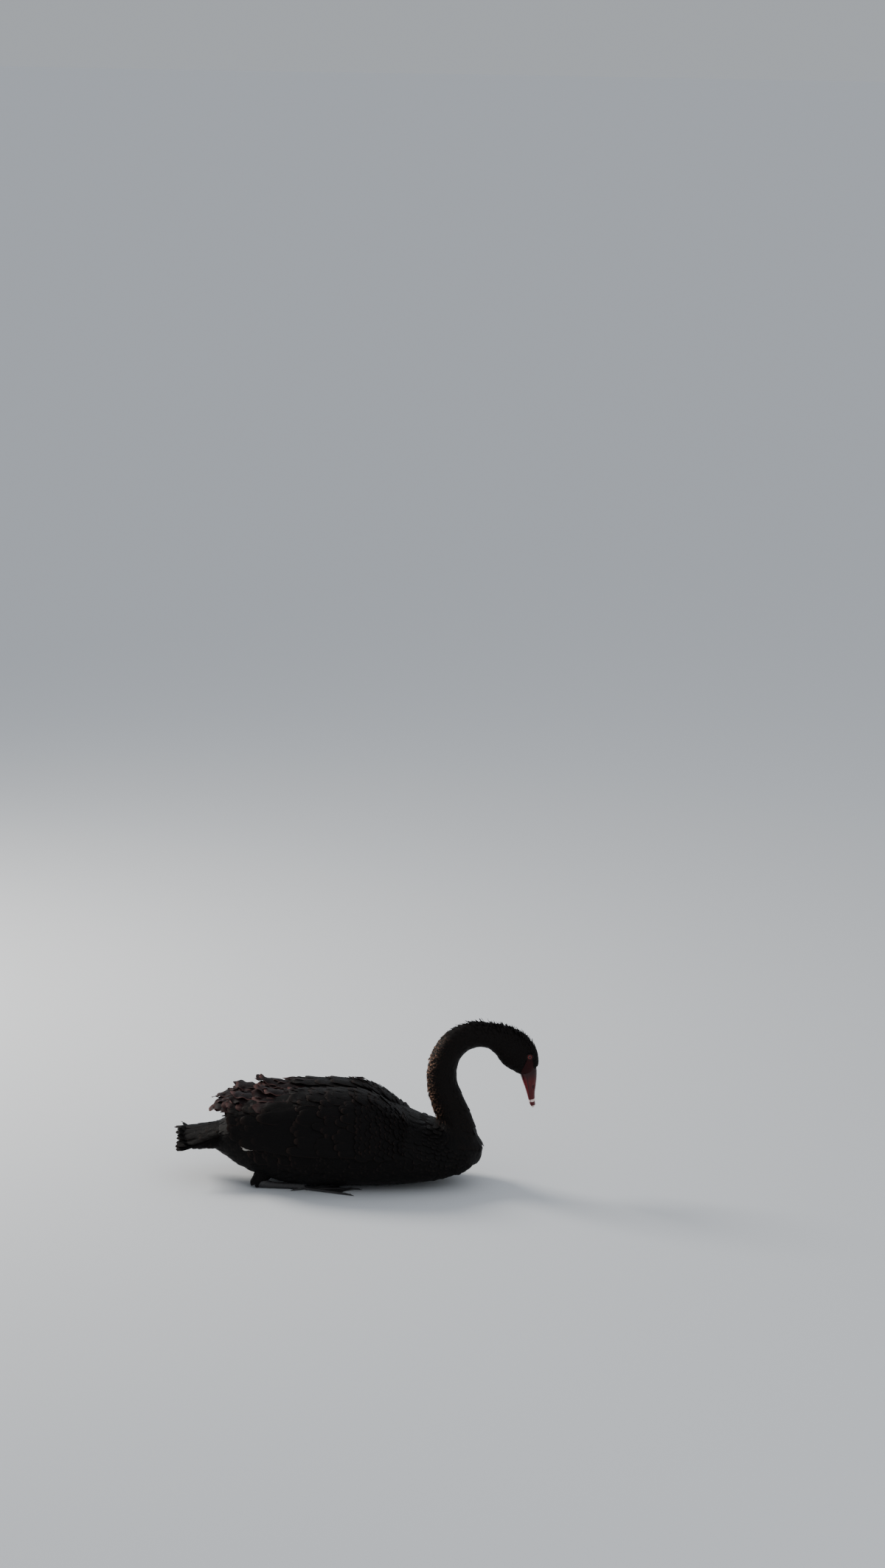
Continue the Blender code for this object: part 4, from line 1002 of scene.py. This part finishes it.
def flank_roots(side, sizes, chance):
    _, x, first, last, count, length, width, lift, fall_a, fall_b = sizes
    share = np.linspace(0, 1, count)
    x = x + chance.uniform(-0.005, 0.005, count)
    row = eased(x, TORSO[:, 0], TORSO)
    height = first + (last - first) * share - row[:, 4]
    rise = np.where(height > 0, row[:, 2] - row[:, 4], row[:, 4] - row[:, 3])
    power = np.where(height > 0, BACK_FULLNESS, BELLY_FULLNESS)
    angle = side * np.arccos(signed_power(height / rise, power / 2))
    fall = fall_a + (fall_b - fall_a) * share
    made = planted(torso_surface, x, angle, 1, lambda here, along, aside: np.stack(
        [-np.ones(count), 0 * fall, -fall], 1), 0.002, length * (1 - 0.22 * share), width, 5.0, 0.0,
                   chance.uniform(-3, 3, count), step=2e-4)
    made["patch"] = np.stack([(x - TORSO_ENDS[0]) / 0.54, angle / 6.3 + 0.5], 1)
    made["ripple"] = 0.0006 * np.ones(count)
    return varied(laid(made, torso_surface, x, angle, lift), chance, 0.07, 0.06, 1.5)


for side, name in wing_node.items():
    chance = np.random.default_rng(47 + side)
    for kind, finish, slot in (("flank", wing_finish, "body_plumage"), ("white", white_finish, "wing_plumage")):
        many = [flank_roots(side, sizes, chance) for sizes in FLANK if sizes[0] == kind]
        place(feather_coat(f"{name}_{kind}", joined(*many), finish, chance, 16, 11, 0.0007, 0.09,
                           ragged=0.045, sharp=50), slot)

# %% [markdown]
# The core under a wing's feathers is a closed dark shell along the same surface, sunk by the
# coat's depth and thinning to its edges. It fills the cracks between the feathers' roots.

# %% Wing cores
for side, name in wing_node.items():
    along, share = np.meshgrid(np.linspace(0.01, 0.93, 60), np.linspace(0, 1, 24), indexing="ij")
    lower = np.interp(along, (0.62, 0.93), (0.97, 0.78))
    across = 0.03 + (lower - 0.03) * share
    edge = np.minimum(1, 4 * np.minimum(share, 1 - share) + 0.12) * np.minimum(1, 6 * (0.93 - along) + 0.08)
    depth = np.interp(along, (0.55, 0.93), (0.028, 0.010)) * np.sqrt(edge)
    surface = wing_surface(along, across, side)
    out = unit(np.cross(np.gradient(surface, axis=0), np.gradient(surface, axis=1))) * -side
    core = slab(surface - out * 0.0042, surface - out * (0.0042 + depth)[..., None])
    place(add_mesh(name + "_core", *core, down_finish), "wing_plumage", name)

# %% [markdown]
# ## The tail
# The tail is a fan of broad feathers on a drooping arch, their roots covered above and below by
# rows of coverts. Each feather rolls with the arch, so its neighbour overlaps it evenly.

# %% Tail feathers
chance = np.random.default_rng(5)


def toward_tip(here, along, aside):
    return -along


def fan_roots(x, spread, tip_spread, count, length, width, height):
    """Feathers from roots at x, spread over a·width, to tips spread wider at the fan's end."""
    share = np.linspace(-1, 1, count)
    wide, tip_wide = tail_surface(np.array(x), np.array(1.0))[1], tail_surface(np.array(-0.284), np.array(1.0))[1]
    root = tail_surface(np.full(count, x), share * spread / wide)
    tip = tail_surface(np.full(count, -0.284), share * tip_spread / tip_wide)
    root[:, 2] += height + 0.0008 * (1 - np.abs(share))
    tip[:, 2] -= 0.0025
    way = unit(tip - root)
    tilt = np.stack([0 * share, 2 * 0.023 * share * tip_spread / tip_wide**2 * 0.8, 0 * share + 1], 1)
    up = unit(tilt - way * (tilt * way).sum(1, keepdims=True))
    whole = np.ones(count)
    return {"root": root, "way": way, "up": up, "length": length * whole, "width": width * whole,
            "bend": 0 * whole, "ripple": 0.0005 * whole, "out": up,
            "patch": np.stack([0.2 + 0 * share + (x + 0.2) * 4, 0.5 + share * 0.4], 1)}


fan = varied(fan_roots(-0.215, 0.036, 0.053, 18, 0.094, 0.018, -0.006), chance, 0.04, 0.05, 1.5)
over = [varied(fan_roots(*sizes), chance, 0.06, 0.06, 1.2) for sizes in (
    (-0.214, 0.034, 0.047, 15, 0.072, 0.016, -0.005), (-0.208, 0.034, 0.047, 15, 0.058, 0.015, -0.0038),
    (-0.203, 0.033, 0.047, 14, 0.046, 0.015, -0.0026), (-0.197, 0.030, 0.044, 12, 0.036, 0.014, -0.0014))]
place(feather_coat("tail_fan", joined(fan, *over), tail_finish, chance, 14, 9, 0.0007, 0.10,
                   ragged=0.05, sharp=50), "tail_plumage")


def tail_underside(x, across):
    row = eased(-x, -TAIL[:, 0], TAIL)
    depth = 0.006 + (row[..., 4] - 0.004) * np.sqrt(np.clip(1 - across**2, 0, 1))
    return tail_surface(x, across) - np.stack([0 * depth, 0 * depth, depth], -1)


rows = even_places(lambda x: tail_underside(x, 0 * x), -0.278, -0.20, 0.009)
x, across = rows_of_roots(tail_underside, rows, -0.975, 0.975, 0.011, chance)
under = planted(tail_underside, x, across, -1, toward_tip, 0.003, 0.030, 0.016, 7.0, -5.0,
                chance.uniform(-6, 6, len(x)), step=5e-4)
under["patch"] = np.stack([(x + 0.3) * 8, across / 2.2 + 0.5], 1)
place(feather_coat("tail_under_coverts", varied(under, chance), tail_finish, chance), "tail_plumage")

x, across = np.meshgrid(np.linspace(-0.196, -0.282, 30), np.linspace(-0.93, 0.93, 30), indexing="ij")
sunk = np.interp(-x, (0.196, 0.23), (0.0045, 0.0085))[..., None] * (0, 0, 1)
core = slab(tail_surface(x, across) - sunk, tail_underside(x, across) + (0, 0, 0.0002))
place(add_mesh("tail_core", *core, down_finish), "tail_plumage", "tail")

# %% [markdown]
# ## The bill
# The bill is horn over bone, deep red, with a pale bar near the tip and a pale nail on it. Above,
# the ridge falls in a shallow curve, with a long nostril on each side, and the two halves part
# at the mouth line. Each half is an arch swept along the bill, and the nostril and the nail are
# pushed in and out of that arch by smooth bumps, which keeps the surface one piece.

# %% The bill's shape
BILL_ROOT, BILL_TIP = np.array((0.3668, 0.2215)), np.array((0.3775, 0.1515))
BILL = np.array([
    (0.00, 0.0175, 0.0158, 0.0152),
    (0.18, 0.0155, 0.0134, 0.0142),
    (0.40, 0.0118, 0.0100, 0.0128),
    (0.62, 0.0080, 0.0075, 0.0120),
    (0.82, 0.0062, 0.0058, 0.0112),
    (0.93, 0.0052, 0.0040, 0.0085),
    (1.00, 0.0018, 0.0012, 0.0030),
])
MOUTH_LINE, PRESSED = 0.0030, 0.0002     # the halves press together by this much
NOSTRIL = (0.40, 0.90, 0.060, 0.17)     # place along, angle, and their reaches


def bill_surface(along, angle, upper):
    """root + line·along + n·rise + Y·across: rise = mouth ± depth·cos^p(angle) and across =
    width·sin(angle), the angle running from -90 to 90 degrees over each half."""
    row = eased(along, BILL[:, 0], BILL)
    line = BILL_TIP - BILL_ROOT
    way = line / np.linalg.norm(line)
    mouth = -MOUTH_LINE * (1 - np.clip(along, 0, 1) ** 4)
    if upper:
        push = np.exp(-((along - NOSTRIL[0]) / NOSTRIL[2]) ** 2 - ((np.abs(angle) - NOSTRIL[1]) / NOSTRIL[3]) ** 2)
        rim = np.exp(-((along - NOSTRIL[0]) / 0.09) ** 2 - ((np.abs(angle) - NOSTRIL[1]) / 0.42) ** 2)
        nail = np.exp(-((along - 0.955) / 0.045) ** 2 - (angle / 0.75) ** 2)
        out = 0.0010 * rim - 0.0040 * push + 0.0011 * nail
        rise = mouth - PRESSED / 2 + (row[..., 1] - mouth) * np.cos(angle) ** 0.8 + out * np.cos(angle)
        across = row[..., 3] * np.sin(angle) + out * np.sin(angle)
    else:
        rise = mouth + PRESSED / 2 - (row[..., 2] + mouth) * np.cos(angle) ** 0.7
        across = 0.93 * row[..., 3] * np.sin(angle)
    x = BILL_ROOT[0] + line[0] * along - way[1] * rise
    z = BILL_ROOT[1] + line[1] * along + way[0] * rise
    return np.stack([x, across, z], -1)


print("bill", round(1000 * np.linalg.norm(BILL_TIP - BILL_ROOT)), "mm long")

# %% [markdown]
# The colours follow the bill's own map: along it for the pale bar and the nail, round it for the painted shade along
# the mouth line. The nostril's slit is painted near black as shade in the opening, and towards its root the red fades
# to near black as painted shade. Fine noise along the length gives the horn its faint growth streaks, and a thin clear
# coat makes it look wet.


# %% Bill material
def bill_material(title, upper_part, dark, light):
    made = bpy.data.materials.new(title)
    made.use_nodes = True
    tree = made.node_tree
    shader = tree.nodes["Principled BSDF"]
    coords = node(tree, "ShaderNodeSeparateXYZ", (), Vector=node(
        tree, "ShaderNodeUVMap", (("uv_map", "feather"),)).outputs[0]).outputs
    spot = node(tree, "ShaderNodeTexCoord").outputs["Object"]
    streak = node(tree, "ShaderNodeTexNoise", (), Scale=1.0, Detail=3.0, Vector=node(
        tree, "ShaderNodeMapping", (), Vector=spot, Scale=(260.0, 260.0, 45.0)).outputs[0]).outputs["Fac"]
    along = maths(tree, "ADD", coords[1], maths(tree, "MULTIPLY", streak, 0.02))
    red = blend_colours(tree, streak, (*dark, 1), (*light, 1))
    off_slit = maths(tree, "SUBTRACT", maths(tree, "ABSOLUTE", maths(tree, "SUBTRACT", coords[0], 0.5)),
                     NOSTRIL[1] / math.pi)
    reach = [maths(tree, "POWER", maths(tree, "DIVIDE", maths(tree, "ABSOLUTE", gap), size), 2.0) for gap, size in (
        (off_slit, 0.030), (maths(tree, "SUBTRACT", coords[1], NOSTRIL[0]), 0.055))]
    # Painted shade: the nostril's slit is darkened to near black.
    nostril_shade = maths(tree, "MULTIPLY", between(tree, maths(tree, "ADD", *reach), 1.2, 0.5), upper_part)
    red = blend_colours(tree, nostril_shade, red, (0.006, 0.001, 0.001, 1))
    # Painted shade: a dark line along the parting of the two halves.
    mouth = maths(tree, "MULTIPLY", between(tree, along, 0.93, 0.80), between(
        tree, maths(tree, "ABSOLUTE", maths(tree, "SUBTRACT", coords[0], 0.5)), 0.480, 0.497))
    # Painted shade: the red fades to near black towards the bill's root.
    base_shade = blend_colours(tree, between(tree, along, 0.30, 0.0), red, (0.020, 0.0012, 0.002, 1))
    bar = maths(tree, "MULTIPLY", between(tree, along, 0.745, 0.765), between(tree, along, 0.835, 0.812))
    barred = blend_colours(tree, bar, base_shade, (0.72, 0.56, 0.52, 1))
    nailed = blend_colours(tree, between(tree, along, 0.925, 0.955), barred, (0.66, 0.52, 0.47, 1))
    lined = blend_colours(tree, maths(tree, "MULTIPLY", mouth, 0.9), nailed, (0.020, 0.002, 0.003, 1))
    tree.links.new(lined, shader.inputs["Base Color"])
    tree.links.new(maths(tree, "ADD", maths(tree, "MULTIPLY", streak, 0.18), 0.26), shader.inputs["Roughness"])
    bumped = node(tree, "ShaderNodeBump", (), Height=streak, Strength=0.25, Distance=0.0004)
    tree.links.new(bumped.outputs[0], shader.inputs["Normal"])
    shader.inputs["Specular IOR Level"].default_value = 0.28
    shader.inputs["Coat Weight"].default_value = 0.08
    shader.inputs["Coat Roughness"].default_value = 0.15
    return made


# The lower half's red is lighter than the upper's: a painted highlight of the light from behind, over one red horn.
for upper, title, dark, light in (
        (True, "bill_upper_horn", (0.044, 0.0011, 0.003), (0.112, 0.0036, 0.0065)),
        (False, "bill_lower_horn", (0.085, 0.0016, 0.005), (0.180, 0.0055, 0.0095))):
    bill_finish = bill_material(title, float(upper), dark, light)
    along = np.concatenate([[-0.10], np.linspace(-0.04, 1, 110)])
    angle = np.linspace(-math.pi / 2, math.pi / 2, 91)
    shell = bill_surface(along[:, None] + 0 * angle, angle[None] + 0 * along[:, None], upper)
    flat = np.linspace(shell[:, -1], shell[:, 0], 14, axis=1)[:, 1:-1]
    rings = np.concatenate([shell, flat], 1)
    points, faces = closed_tube(rings, rings[0].mean(0), rings[-1].mean(0))
    v = np.append(np.repeat(np.clip(along, 0, 1), rings.shape[1]), (0, 1))
    u = np.append(np.tile(np.append(np.linspace(0, 1, 91), np.ones(12)), len(along)), (0.5, 0.5))
    place(add_mesh(title, points, faces, bill_finish, np.stack([u, v], 1), sharp=50),
          "bill", "bill_upper" if upper else "bill_lower")

# %% [markdown]
# ## Bare skin, eyelids and eyes
# Between bill and eye a black swan has a wedge of bare red skin. It lies on the head's own surface,
# a hair's breadth proud of the down, so it is a thin closed patch worked out from the same line.

# %% The bare skin from bill to eye
# The bare skin's red is darkened almost to black: painted shade of the shaded head, over skin that is red.
bare_finish = noise_material("bare_skin", (0.011, 0.0010, 0.0013), (0.026, 0.0018, 0.0024), 700, 0.5, 0.35, 0.0005, 3.0, 0.03, 0.12)
for side, name in ((1, "left"), (-1, "right")):
    share, over = np.meshgrid(np.linspace(eye_share - 0.004, 1.0, 60), np.linspace(-1, 1, 34), indexing="ij")
    angle = bare_middle(share) + over * (bare_width(share) + 0.03)
    point = spine_surface(share, angle * side)
    out = unit(np.cross(np.gradient(point, axis=0), np.gradient(point, axis=1))) * side
    swell = 0.0004 + 0.0010 * (1 - over**2)[..., None] * np.interp(share, (eye_share, 0.985), (0.3, 1))[..., None]
    swell = swell - 0.0019 * (np.clip((share - 0.972) / 0.028, 0, 1) ** 1.5)[..., None]
    patch = slab(point + out * (swell - 0.0010), point - out * 0.0022)
    place(add_mesh("bare_skin_" + name, *patch, bare_finish), "bill")

# %% [markdown]
# The eye is a ball set deep in the head, turned the way it looks. Its grid has its pole on that
# line, so the map's first coordinate is simply the angle off the line: pupil, iris and dark rim are
# rings of that one number.


# %% Eyes
def eye_material():
    made = bpy.data.materials.new("eye_wet")
    made.use_nodes = True
    tree = made.node_tree
    shader = tree.nodes["Principled BSDF"]
    coords = node(tree, "ShaderNodeSeparateXYZ", (), Vector=node(
        tree, "ShaderNodeUVMap", (("uv_map", "feather"),)).outputs[0]).outputs
    spokes = node(tree, "ShaderNodeTexNoise", (), Scale=1.0, Detail=2.0, Vector=node(
        tree, "ShaderNodeMapping", (), Vector=node(tree, "ShaderNodeUVMap", (("uv_map", "feather"),)).outputs[0],
        Scale=(14.0, 60.0, 1.0)).outputs[0]).outputs["Fac"]
    iris = blend_colours(tree, spokes, (0.075, 0.003, 0.003, 1), (0.21, 0.011, 0.007, 1))
    ringed = blend_colours(tree, between(tree, coords[0], 0.200, 0.235), iris, (0.02, 0.006, 0.006, 1))
    seen = blend_colours(tree, between(tree, coords[0], 0.115, 0.128), (0.002, 0.002, 0.002, 1), ringed)
    tree.links.new(seen, shader.inputs["Base Color"])
    shader.inputs["Roughness"].default_value = 0.10
    shader.inputs["Specular IOR Level"].default_value = 0.25
    shader.inputs["Coat Weight"].default_value = 0.4
    shader.inputs["Coat Roughness"].default_value = 0.03
    return made


EYE_RADIUS, EYE_DEPTH, EYE_SUNK = 0.0064, 0.0050, 0.0011
eye_finish = eye_material()
lid_finish = noise_material("lid_skin", (0.007, 0.003, 0.003), (0.020, 0.005, 0.005), 900, 0.5, 0.4, 0.0004, 3.0, 0.03, 0.15)
for side, name in ((1, "left"), (-1, "right")):
    mirror = np.array((1, side, 1))
    facing = EYE_FACING * mirror
    centre = (EYE - EYE_FACING * (EYE_SUNK + EYE_DEPTH)) * mirror
    ahead = unit(np.cross(facing, (0, 0, 1)))
    above = np.cross(ahead, facing)
    theta, phi = np.linspace(0.03, math.pi - 0.03, 48), np.arange(48) * 2 * math.pi / 48
    radius = EYE_RADIUS * (1 + 0.03 * np.exp(-(theta / 0.55) ** 2))[:, None, None]
    ball = centre + radius * (np.cos(theta)[:, None, None] * facing + np.sin(theta)[:, None, None] * (
        np.cos(phi)[:, None] * ahead + np.sin(phi)[:, None] * above))
    points, faces = closed_tube(ball, centre + facing * EYE_RADIUS * 1.03, centre - facing * EYE_RADIUS)
    u = np.append(np.repeat(theta / math.pi, 48), (0, 1))
    v = np.append(np.tile(phi / (2 * math.pi), 48), (0, 0))
    place(add_mesh("eyeball_" + name, points, faces, eye_finish, np.stack([u, v], 1)), "eye", "eye_" + name)

# %% [markdown]
# The lids are a soft rim round the opening, fuller above than below and drawn out a little to the
# front and rear. Its section is a small circle carried round an oval, with shallow folds.

# %% Eyelids
for side, name in ((1, "left"), (-1, "right")):
    mirror = np.array((1, side, 1))
    facing = EYE_FACING * mirror
    ahead = unit(np.cross(facing, (0, 0, 1)))
    above = np.cross(ahead, facing)
    around, small = np.meshgrid(np.arange(96) * 2 * math.pi / 96, np.arange(20) * 2 * math.pi / 20, indexing="ij")
    up = np.sin(around)
    thick = 0.0011 + 0.0003 * np.clip(up, 0, 1) + 0.00006 * np.sin(around * 17 + 2 * small)
    out = ahead * (np.cos(around) * (1.14 + 0.06 * np.cos(2 * around)))[..., None] + above * (up * 0.92)[..., None]
    sag = EYE_SUNK + 0.0003 + 24 * (0.0052 * (out * ahead).sum(-1)) ** 2
    point = EYE * mirror + out * (0.0052 + thick * np.cos(small))[..., None] + facing * (
        thick * np.sin(small) - sag)[..., None]
    index = np.arange(96 * 20).reshape(96, 20)
    index = np.concatenate([index, index[:1]], 0)
    index = np.concatenate([index, index[:, :1]], 1)
    quads = np.stack([index[:-1, :-1], index[1:, :-1], index[1:, 1:], index[:-1, 1:]], -1).reshape(-1, 4)
    flat = point.reshape(-1, 3)
    faces = outward(flat, np.concatenate([quads[:, [0, 1, 2]], quads[:, [0, 2, 3]]]))
    place(add_mesh("eyelids_" + name, flat, faces, lid_finish), "eye")

# %% [markdown]
# ## The feet
# Afloat, a swan trails its feet. Here they are folded flat at the flanks: a scaly shank from the
# hock, three long toes with their joints, a short hind toe, and the web between. Each is a closed
# tube or sheet, and a fine remesh makes them one skin. Its creases come from a Voronoi pattern of
# small cells.


# %% Foot material and shapes
def foot_material():
    made = bpy.data.materials.new("foot_skin")
    made.use_nodes = True
    tree = made.node_tree
    shader = tree.nodes["Principled BSDF"]
    spot = node(tree, "ShaderNodeTexCoord").outputs["Object"]
    cells = node(tree, "ShaderNodeTexVoronoi", (("feature", "DISTANCE_TO_EDGE"),), Scale=420.0, Vector=spot).outputs[0]
    crease = between(tree, cells, 0.0, 0.12)
    patchy = node(tree, "ShaderNodeTexNoise", (), Scale=70.0, Detail=4.0, Vector=spot).outputs["Fac"]
    skin_colour = blend_colours(tree, patchy, (0.022, 0.021, 0.022, 1), (0.060, 0.056, 0.056, 1))
    tree.links.new(blend_colours(tree, crease, (0.012, 0.011, 0.011, 1), skin_colour), shader.inputs["Base Color"])
    tree.links.new(maths(tree, "ADD", maths(tree, "MULTIPLY", patchy, 0.3), 0.38), shader.inputs["Roughness"])
    bumped = node(tree, "ShaderNodeBump", (), Height=crease, Strength=0.5, Distance=0.0005)
    tree.links.new(bumped.outputs[0], shader.inputs["Normal"])
    return made


LEG = np.array([
    (-0.150, 0.060, 0.0080, 0.0080),
    (-0.138, 0.061, 0.0090, 0.0088),
    (-0.120, 0.063, 0.0065, 0.0066),
    (-0.080, 0.067, 0.0052, 0.0060),
    (-0.055, 0.069, 0.0072, 0.0070),
])
KNUCKLE = np.array((-0.057, 0.069, 0.0))
TOES = ((-21, 0.082), (-2, 0.104), (20, 0.096), (158, 0.022))   # turn from ahead, length
TOE_WIDTH, TOE_HEIGHT, CLAW, HOLLOW = 0.0036, 0.0054, 0.009, 0.016
FLOOR_GAP = 0.0003


def lying_tube(path, half_width, height, sides=20):
    """Centre = path at half the height; a ring's points are path ± width·cos and height·(1+sin)/2."""
    way = unit(np.gradient(path, axis=0))
    beside = np.stack([-way[:, 1], way[:, 0], 0 * way[:, 0]], 1)
    angle = np.arange(sides) * 2 * math.pi / sides
    rings = path[:, None] + beside[:, None] * (half_width[:, None] * np.cos(angle))[..., None]
    rings[..., 2] += FLOOR_GAP + height[:, None] * (1 + np.sin(angle)) / 2
    return closed_tube(rings, rings[0].mean(0), rings[-1].mean(0))


def toe_end(turn, length):
    return KNUCKLE + length * np.array((math.cos(math.radians(turn)), math.sin(math.radians(turn)), 0))


def toe(turn, length):
    """A tapering tube with three joints swelling along it."""
    t = np.linspace(0, 1, 50)
    path = KNUCKLE + (toe_end(turn, length) - KNUCKLE) * t[:, None]
    joints = sum(np.exp(-((t - place_) / 0.045) ** 2) for place_ in (0.36, 0.64, 0.86))
    size = (1 - 0.42 * t + 0.14 * joints) * np.sqrt(np.clip((1.04 - t) / 0.10, 0, 1))
    return lying_tube(path, TOE_WIDTH * size, TOE_HEIGHT * size)


def web(first, last):
    """A sheet from the knuckle to a hollow front edge between two toes, with faint folds."""
    t, s = np.meshgrid(np.linspace(0.06, 1, 40), np.linspace(0, 1, 30), indexing="ij")
    ends = [toe_end(turn, length * 0.93) for turn, length in (first, last)]
    edge = ends[0] + (ends[1] - ends[0]) * s[..., None]
    edge[..., 0] -= HOLLOW * np.sin(math.pi * s)
    top = KNUCKLE + (edge - KNUCKLE) * t[..., None]
    bottom = top + (0, 0, FLOOR_GAP)
    top[..., 2] = FLOOR_GAP + 0.0019 - 0.0005 * np.sin(math.pi * s) + 0.00025 * np.sin(s * 34 + t * 9)
    return slab(top, bottom)


def claw(turn, length):
    """A curved cone beyond the toe, its point turned down to the floor."""
    t = np.linspace(0, 1, 16)
    path = toe_end(turn, length) + (toe_end(turn, CLAW) - KNUCKLE) * (t[:, None] - 0.25)
    size = 1 - 0.93 * t
    return lying_tube(path, 0.0019 * size, 0.0036 * size * (1 - 0.2 * t), 14)


# %% [markdown]
# The drumstick rises from the hock into the belly. It is feathered, so it gets a short tube of
# its own and a few rows of small feathers.


# %% Feet
def thigh_surface(rise, angle):
    """centre(rise) + r·(cos, sin), the centre leaning forward and inward, r growing upward."""
    rise, angle = np.broadcast_arrays(rise, angle)
    centre = np.stack([-0.148 + 0.034 * rise, 0.060 - 0.006 * rise, 0.010 + 0.044 * rise], -1)
    radius = 0.0075 + 0.0105 * rise
    return centre + radius[..., None] * np.stack([1.3 * np.cos(angle), np.sin(angle), -0.5 * np.cos(angle)], -1)


def combined(pieces):
    starts = np.cumsum([0] + [len(points) for points, _ in pieces])
    return (np.concatenate([points for points, _ in pieces]),
            np.concatenate([faces + start for (_, faces), start in zip(pieces, starts)]))


foot_finish = foot_material()
claw_finish = noise_material("claw_horn", (0.010, 0.009, 0.009), (0.030, 0.026, 0.024), 500, 0.35, 0.2, 0.0003, 3.0, 0.1)
for side, name in ((1, "leg_left"), (-1, "leg_right")):
    mirror = np.array((1, side, 1))
    places = np.linspace(LEG[0, 0], LEG[-1, 0], 60)
    rows = eased(places, LEG[:, 0], LEG)
    to_end = np.minimum(places - LEG[0, 0], LEG[-1, 0] + 0.004 - places)
    round_end = np.sqrt(np.clip(to_end / 0.010, 0.02, 1))
    scutes = 1 + 0.03 * np.sin(places * 2 * math.pi / 0.0045)
    shank = lying_tube(np.stack([rows[:, 0], rows[:, 1], 0 * places], 1), rows[:, 2] * round_end * scutes,
                       2 * rows[:, 3] * (0.5 + 0.5 * round_end) * scutes, 28)
    angle = np.arange(24) * 2 * math.pi / 24
    thigh = thigh_surface(np.linspace(0, 1, 20)[:, None], angle[None])
    points, faces = combined([shank, closed_tube(thigh, thigh[0].mean(0), thigh[-1].mean(0)),
                              *[toe(*sizes) for sizes in TOES], *[web(*pair) for pair in zip(TOES[:2], TOES[1:3])]])
    foot = add_mesh(name + "_skin", points * mirror, faces[:, ::-side], foot_finish)
    remesh = foot.modifiers.new("one skin", "REMESH")
    remesh.mode, remesh.voxel_size = "VOXEL", 0.0010
    foot.data = bpy.data.meshes.new_from_object(foot.evaluated_get(bpy.context.evaluated_depsgraph_get()))
    foot.modifiers.clear()
    foot.data.shade_smooth()
    place(foot, "foot", name)
    points, faces = combined([claw(*sizes) for sizes in TOES])
    place(add_mesh(name + "_claws", points * mirror, faces[:, ::-side], claw_finish), "foot")
    chance = np.random.default_rng(61 + side)
    rise, around = rows_of_roots(thigh_surface, np.linspace(0.16, 0.62, 6), -math.pi, math.pi, 0.0075, chance)
    leaf = planted(thigh_surface, rise, around, -1, lambda here, along, aside: -along, 0.0012, 0.0165, 0.0088,
                   12.0, -8.0, chance.uniform(-8, 8, len(rise)))
    leaf["patch"] = np.stack([rise, around / 6.3 + 0.5], 1)
    for key in ("root", "way", "up", "out"):
        leaf[key] = leaf[key] * mirror
    place(feather_coat(name + "_thigh_feathers", varied(leaf, chance), body_finish, chance), "body_plumage")

# %% [markdown]
# ## Floor, light and camera
# A pale floor stands in for the water. Soft light comes from a large panel high behind on the
# left, as in the photo, and a weaker one fills from the front, over an even, pale sky.


# %% Floor and light
def area_light(name, place_, target, size, power, colour=(1, 1, 1)):
    lamp = bpy.data.lights.new(name, "AREA")
    lamp.shape, lamp.size, lamp.energy, lamp.color = "DISK", size, power, colour
    made = bpy.data.objects.new(name, lamp)
    made.location = place_
    made.rotation_mode = "QUATERNION"
    from mathutils import Vector
    made.rotation_quaternion = (Vector(target) - Vector(place_)).to_track_quat("-Z", "Y")
    bpy.context.scene.collection.objects.link(made)


floor_finish = noise_material("floor_pale", (0.66, 0.68, 0.70), (0.68, 0.70, 0.72), 900.0, 0.85, 0.02, 0.001)
half = 400.0
floor = add_mesh("floor", np.array([(-half, -half, 0), (half, -half, 0), (half, half, 0), (-half, half, 0)]),
                 np.array([(0, 1, 2), (0, 2, 3)]), floor_finish)
floor.location.z = -0.0002
area_light("key", (-2.4, 1.5, 2.1), (0.05, 0, 0.12), 1.3, 120, (1.0, 0.95, 0.88))
area_light("front", (1.8, -2.6, 1.8), (0.05, 0, 0.12), 2.4, 14, (0.95, 0.98, 1.0))
world = bpy.data.worlds.new("pale sky")
bpy.context.scene.world = world
world.use_nodes = True
sky = world.node_tree
height = node(sky, "ShaderNodeSeparateXYZ", (), Vector=node(sky, "ShaderNodeTexCoord").outputs["Generated"]).outputs[2]
shade = blend_colours(sky, between(sky, height, 0.0, 1.0), (0.420, 0.445, 0.475, 1), (0.66, 0.69, 0.74, 1))
sky.links.new(shade, sky.nodes["Background"].inputs[0])
print("floor and lights set")

# %% [markdown]
# The photo was taken from a bank, about 17 degrees above the bird, with a long lens, and leans one
# degree. The swan floats low and left of the middle, so the camera looks well over it.

# %% Camera
lens = bpy.data.cameras.new("camera")
lens.lens, lens.sensor_width, lens.sensor_fit = 85.0, 36.0, "AUTO"
lens.clip_start, lens.clip_end = 0.1, 200.0
camera = bpy.data.objects.new("camera", lens)
camera.location = (0.19359, -6.84854, 2.17040)
DOWN, LEAN = math.radians(11.4643), math.radians(1.0)
from mathutils import Matrix

camera.rotation_mode = "QUATERNION"
camera.rotation_quaternion = (Matrix.Rotation(math.pi / 2 - DOWN, 3, "X") @ Matrix.Rotation(
    LEAN, 3, "Z")).to_quaternion()
bpy.context.scene.collection.objects.link(camera)
bpy.context.scene.camera = camera
print("camera", round(camera.location.length, 2), "m away")
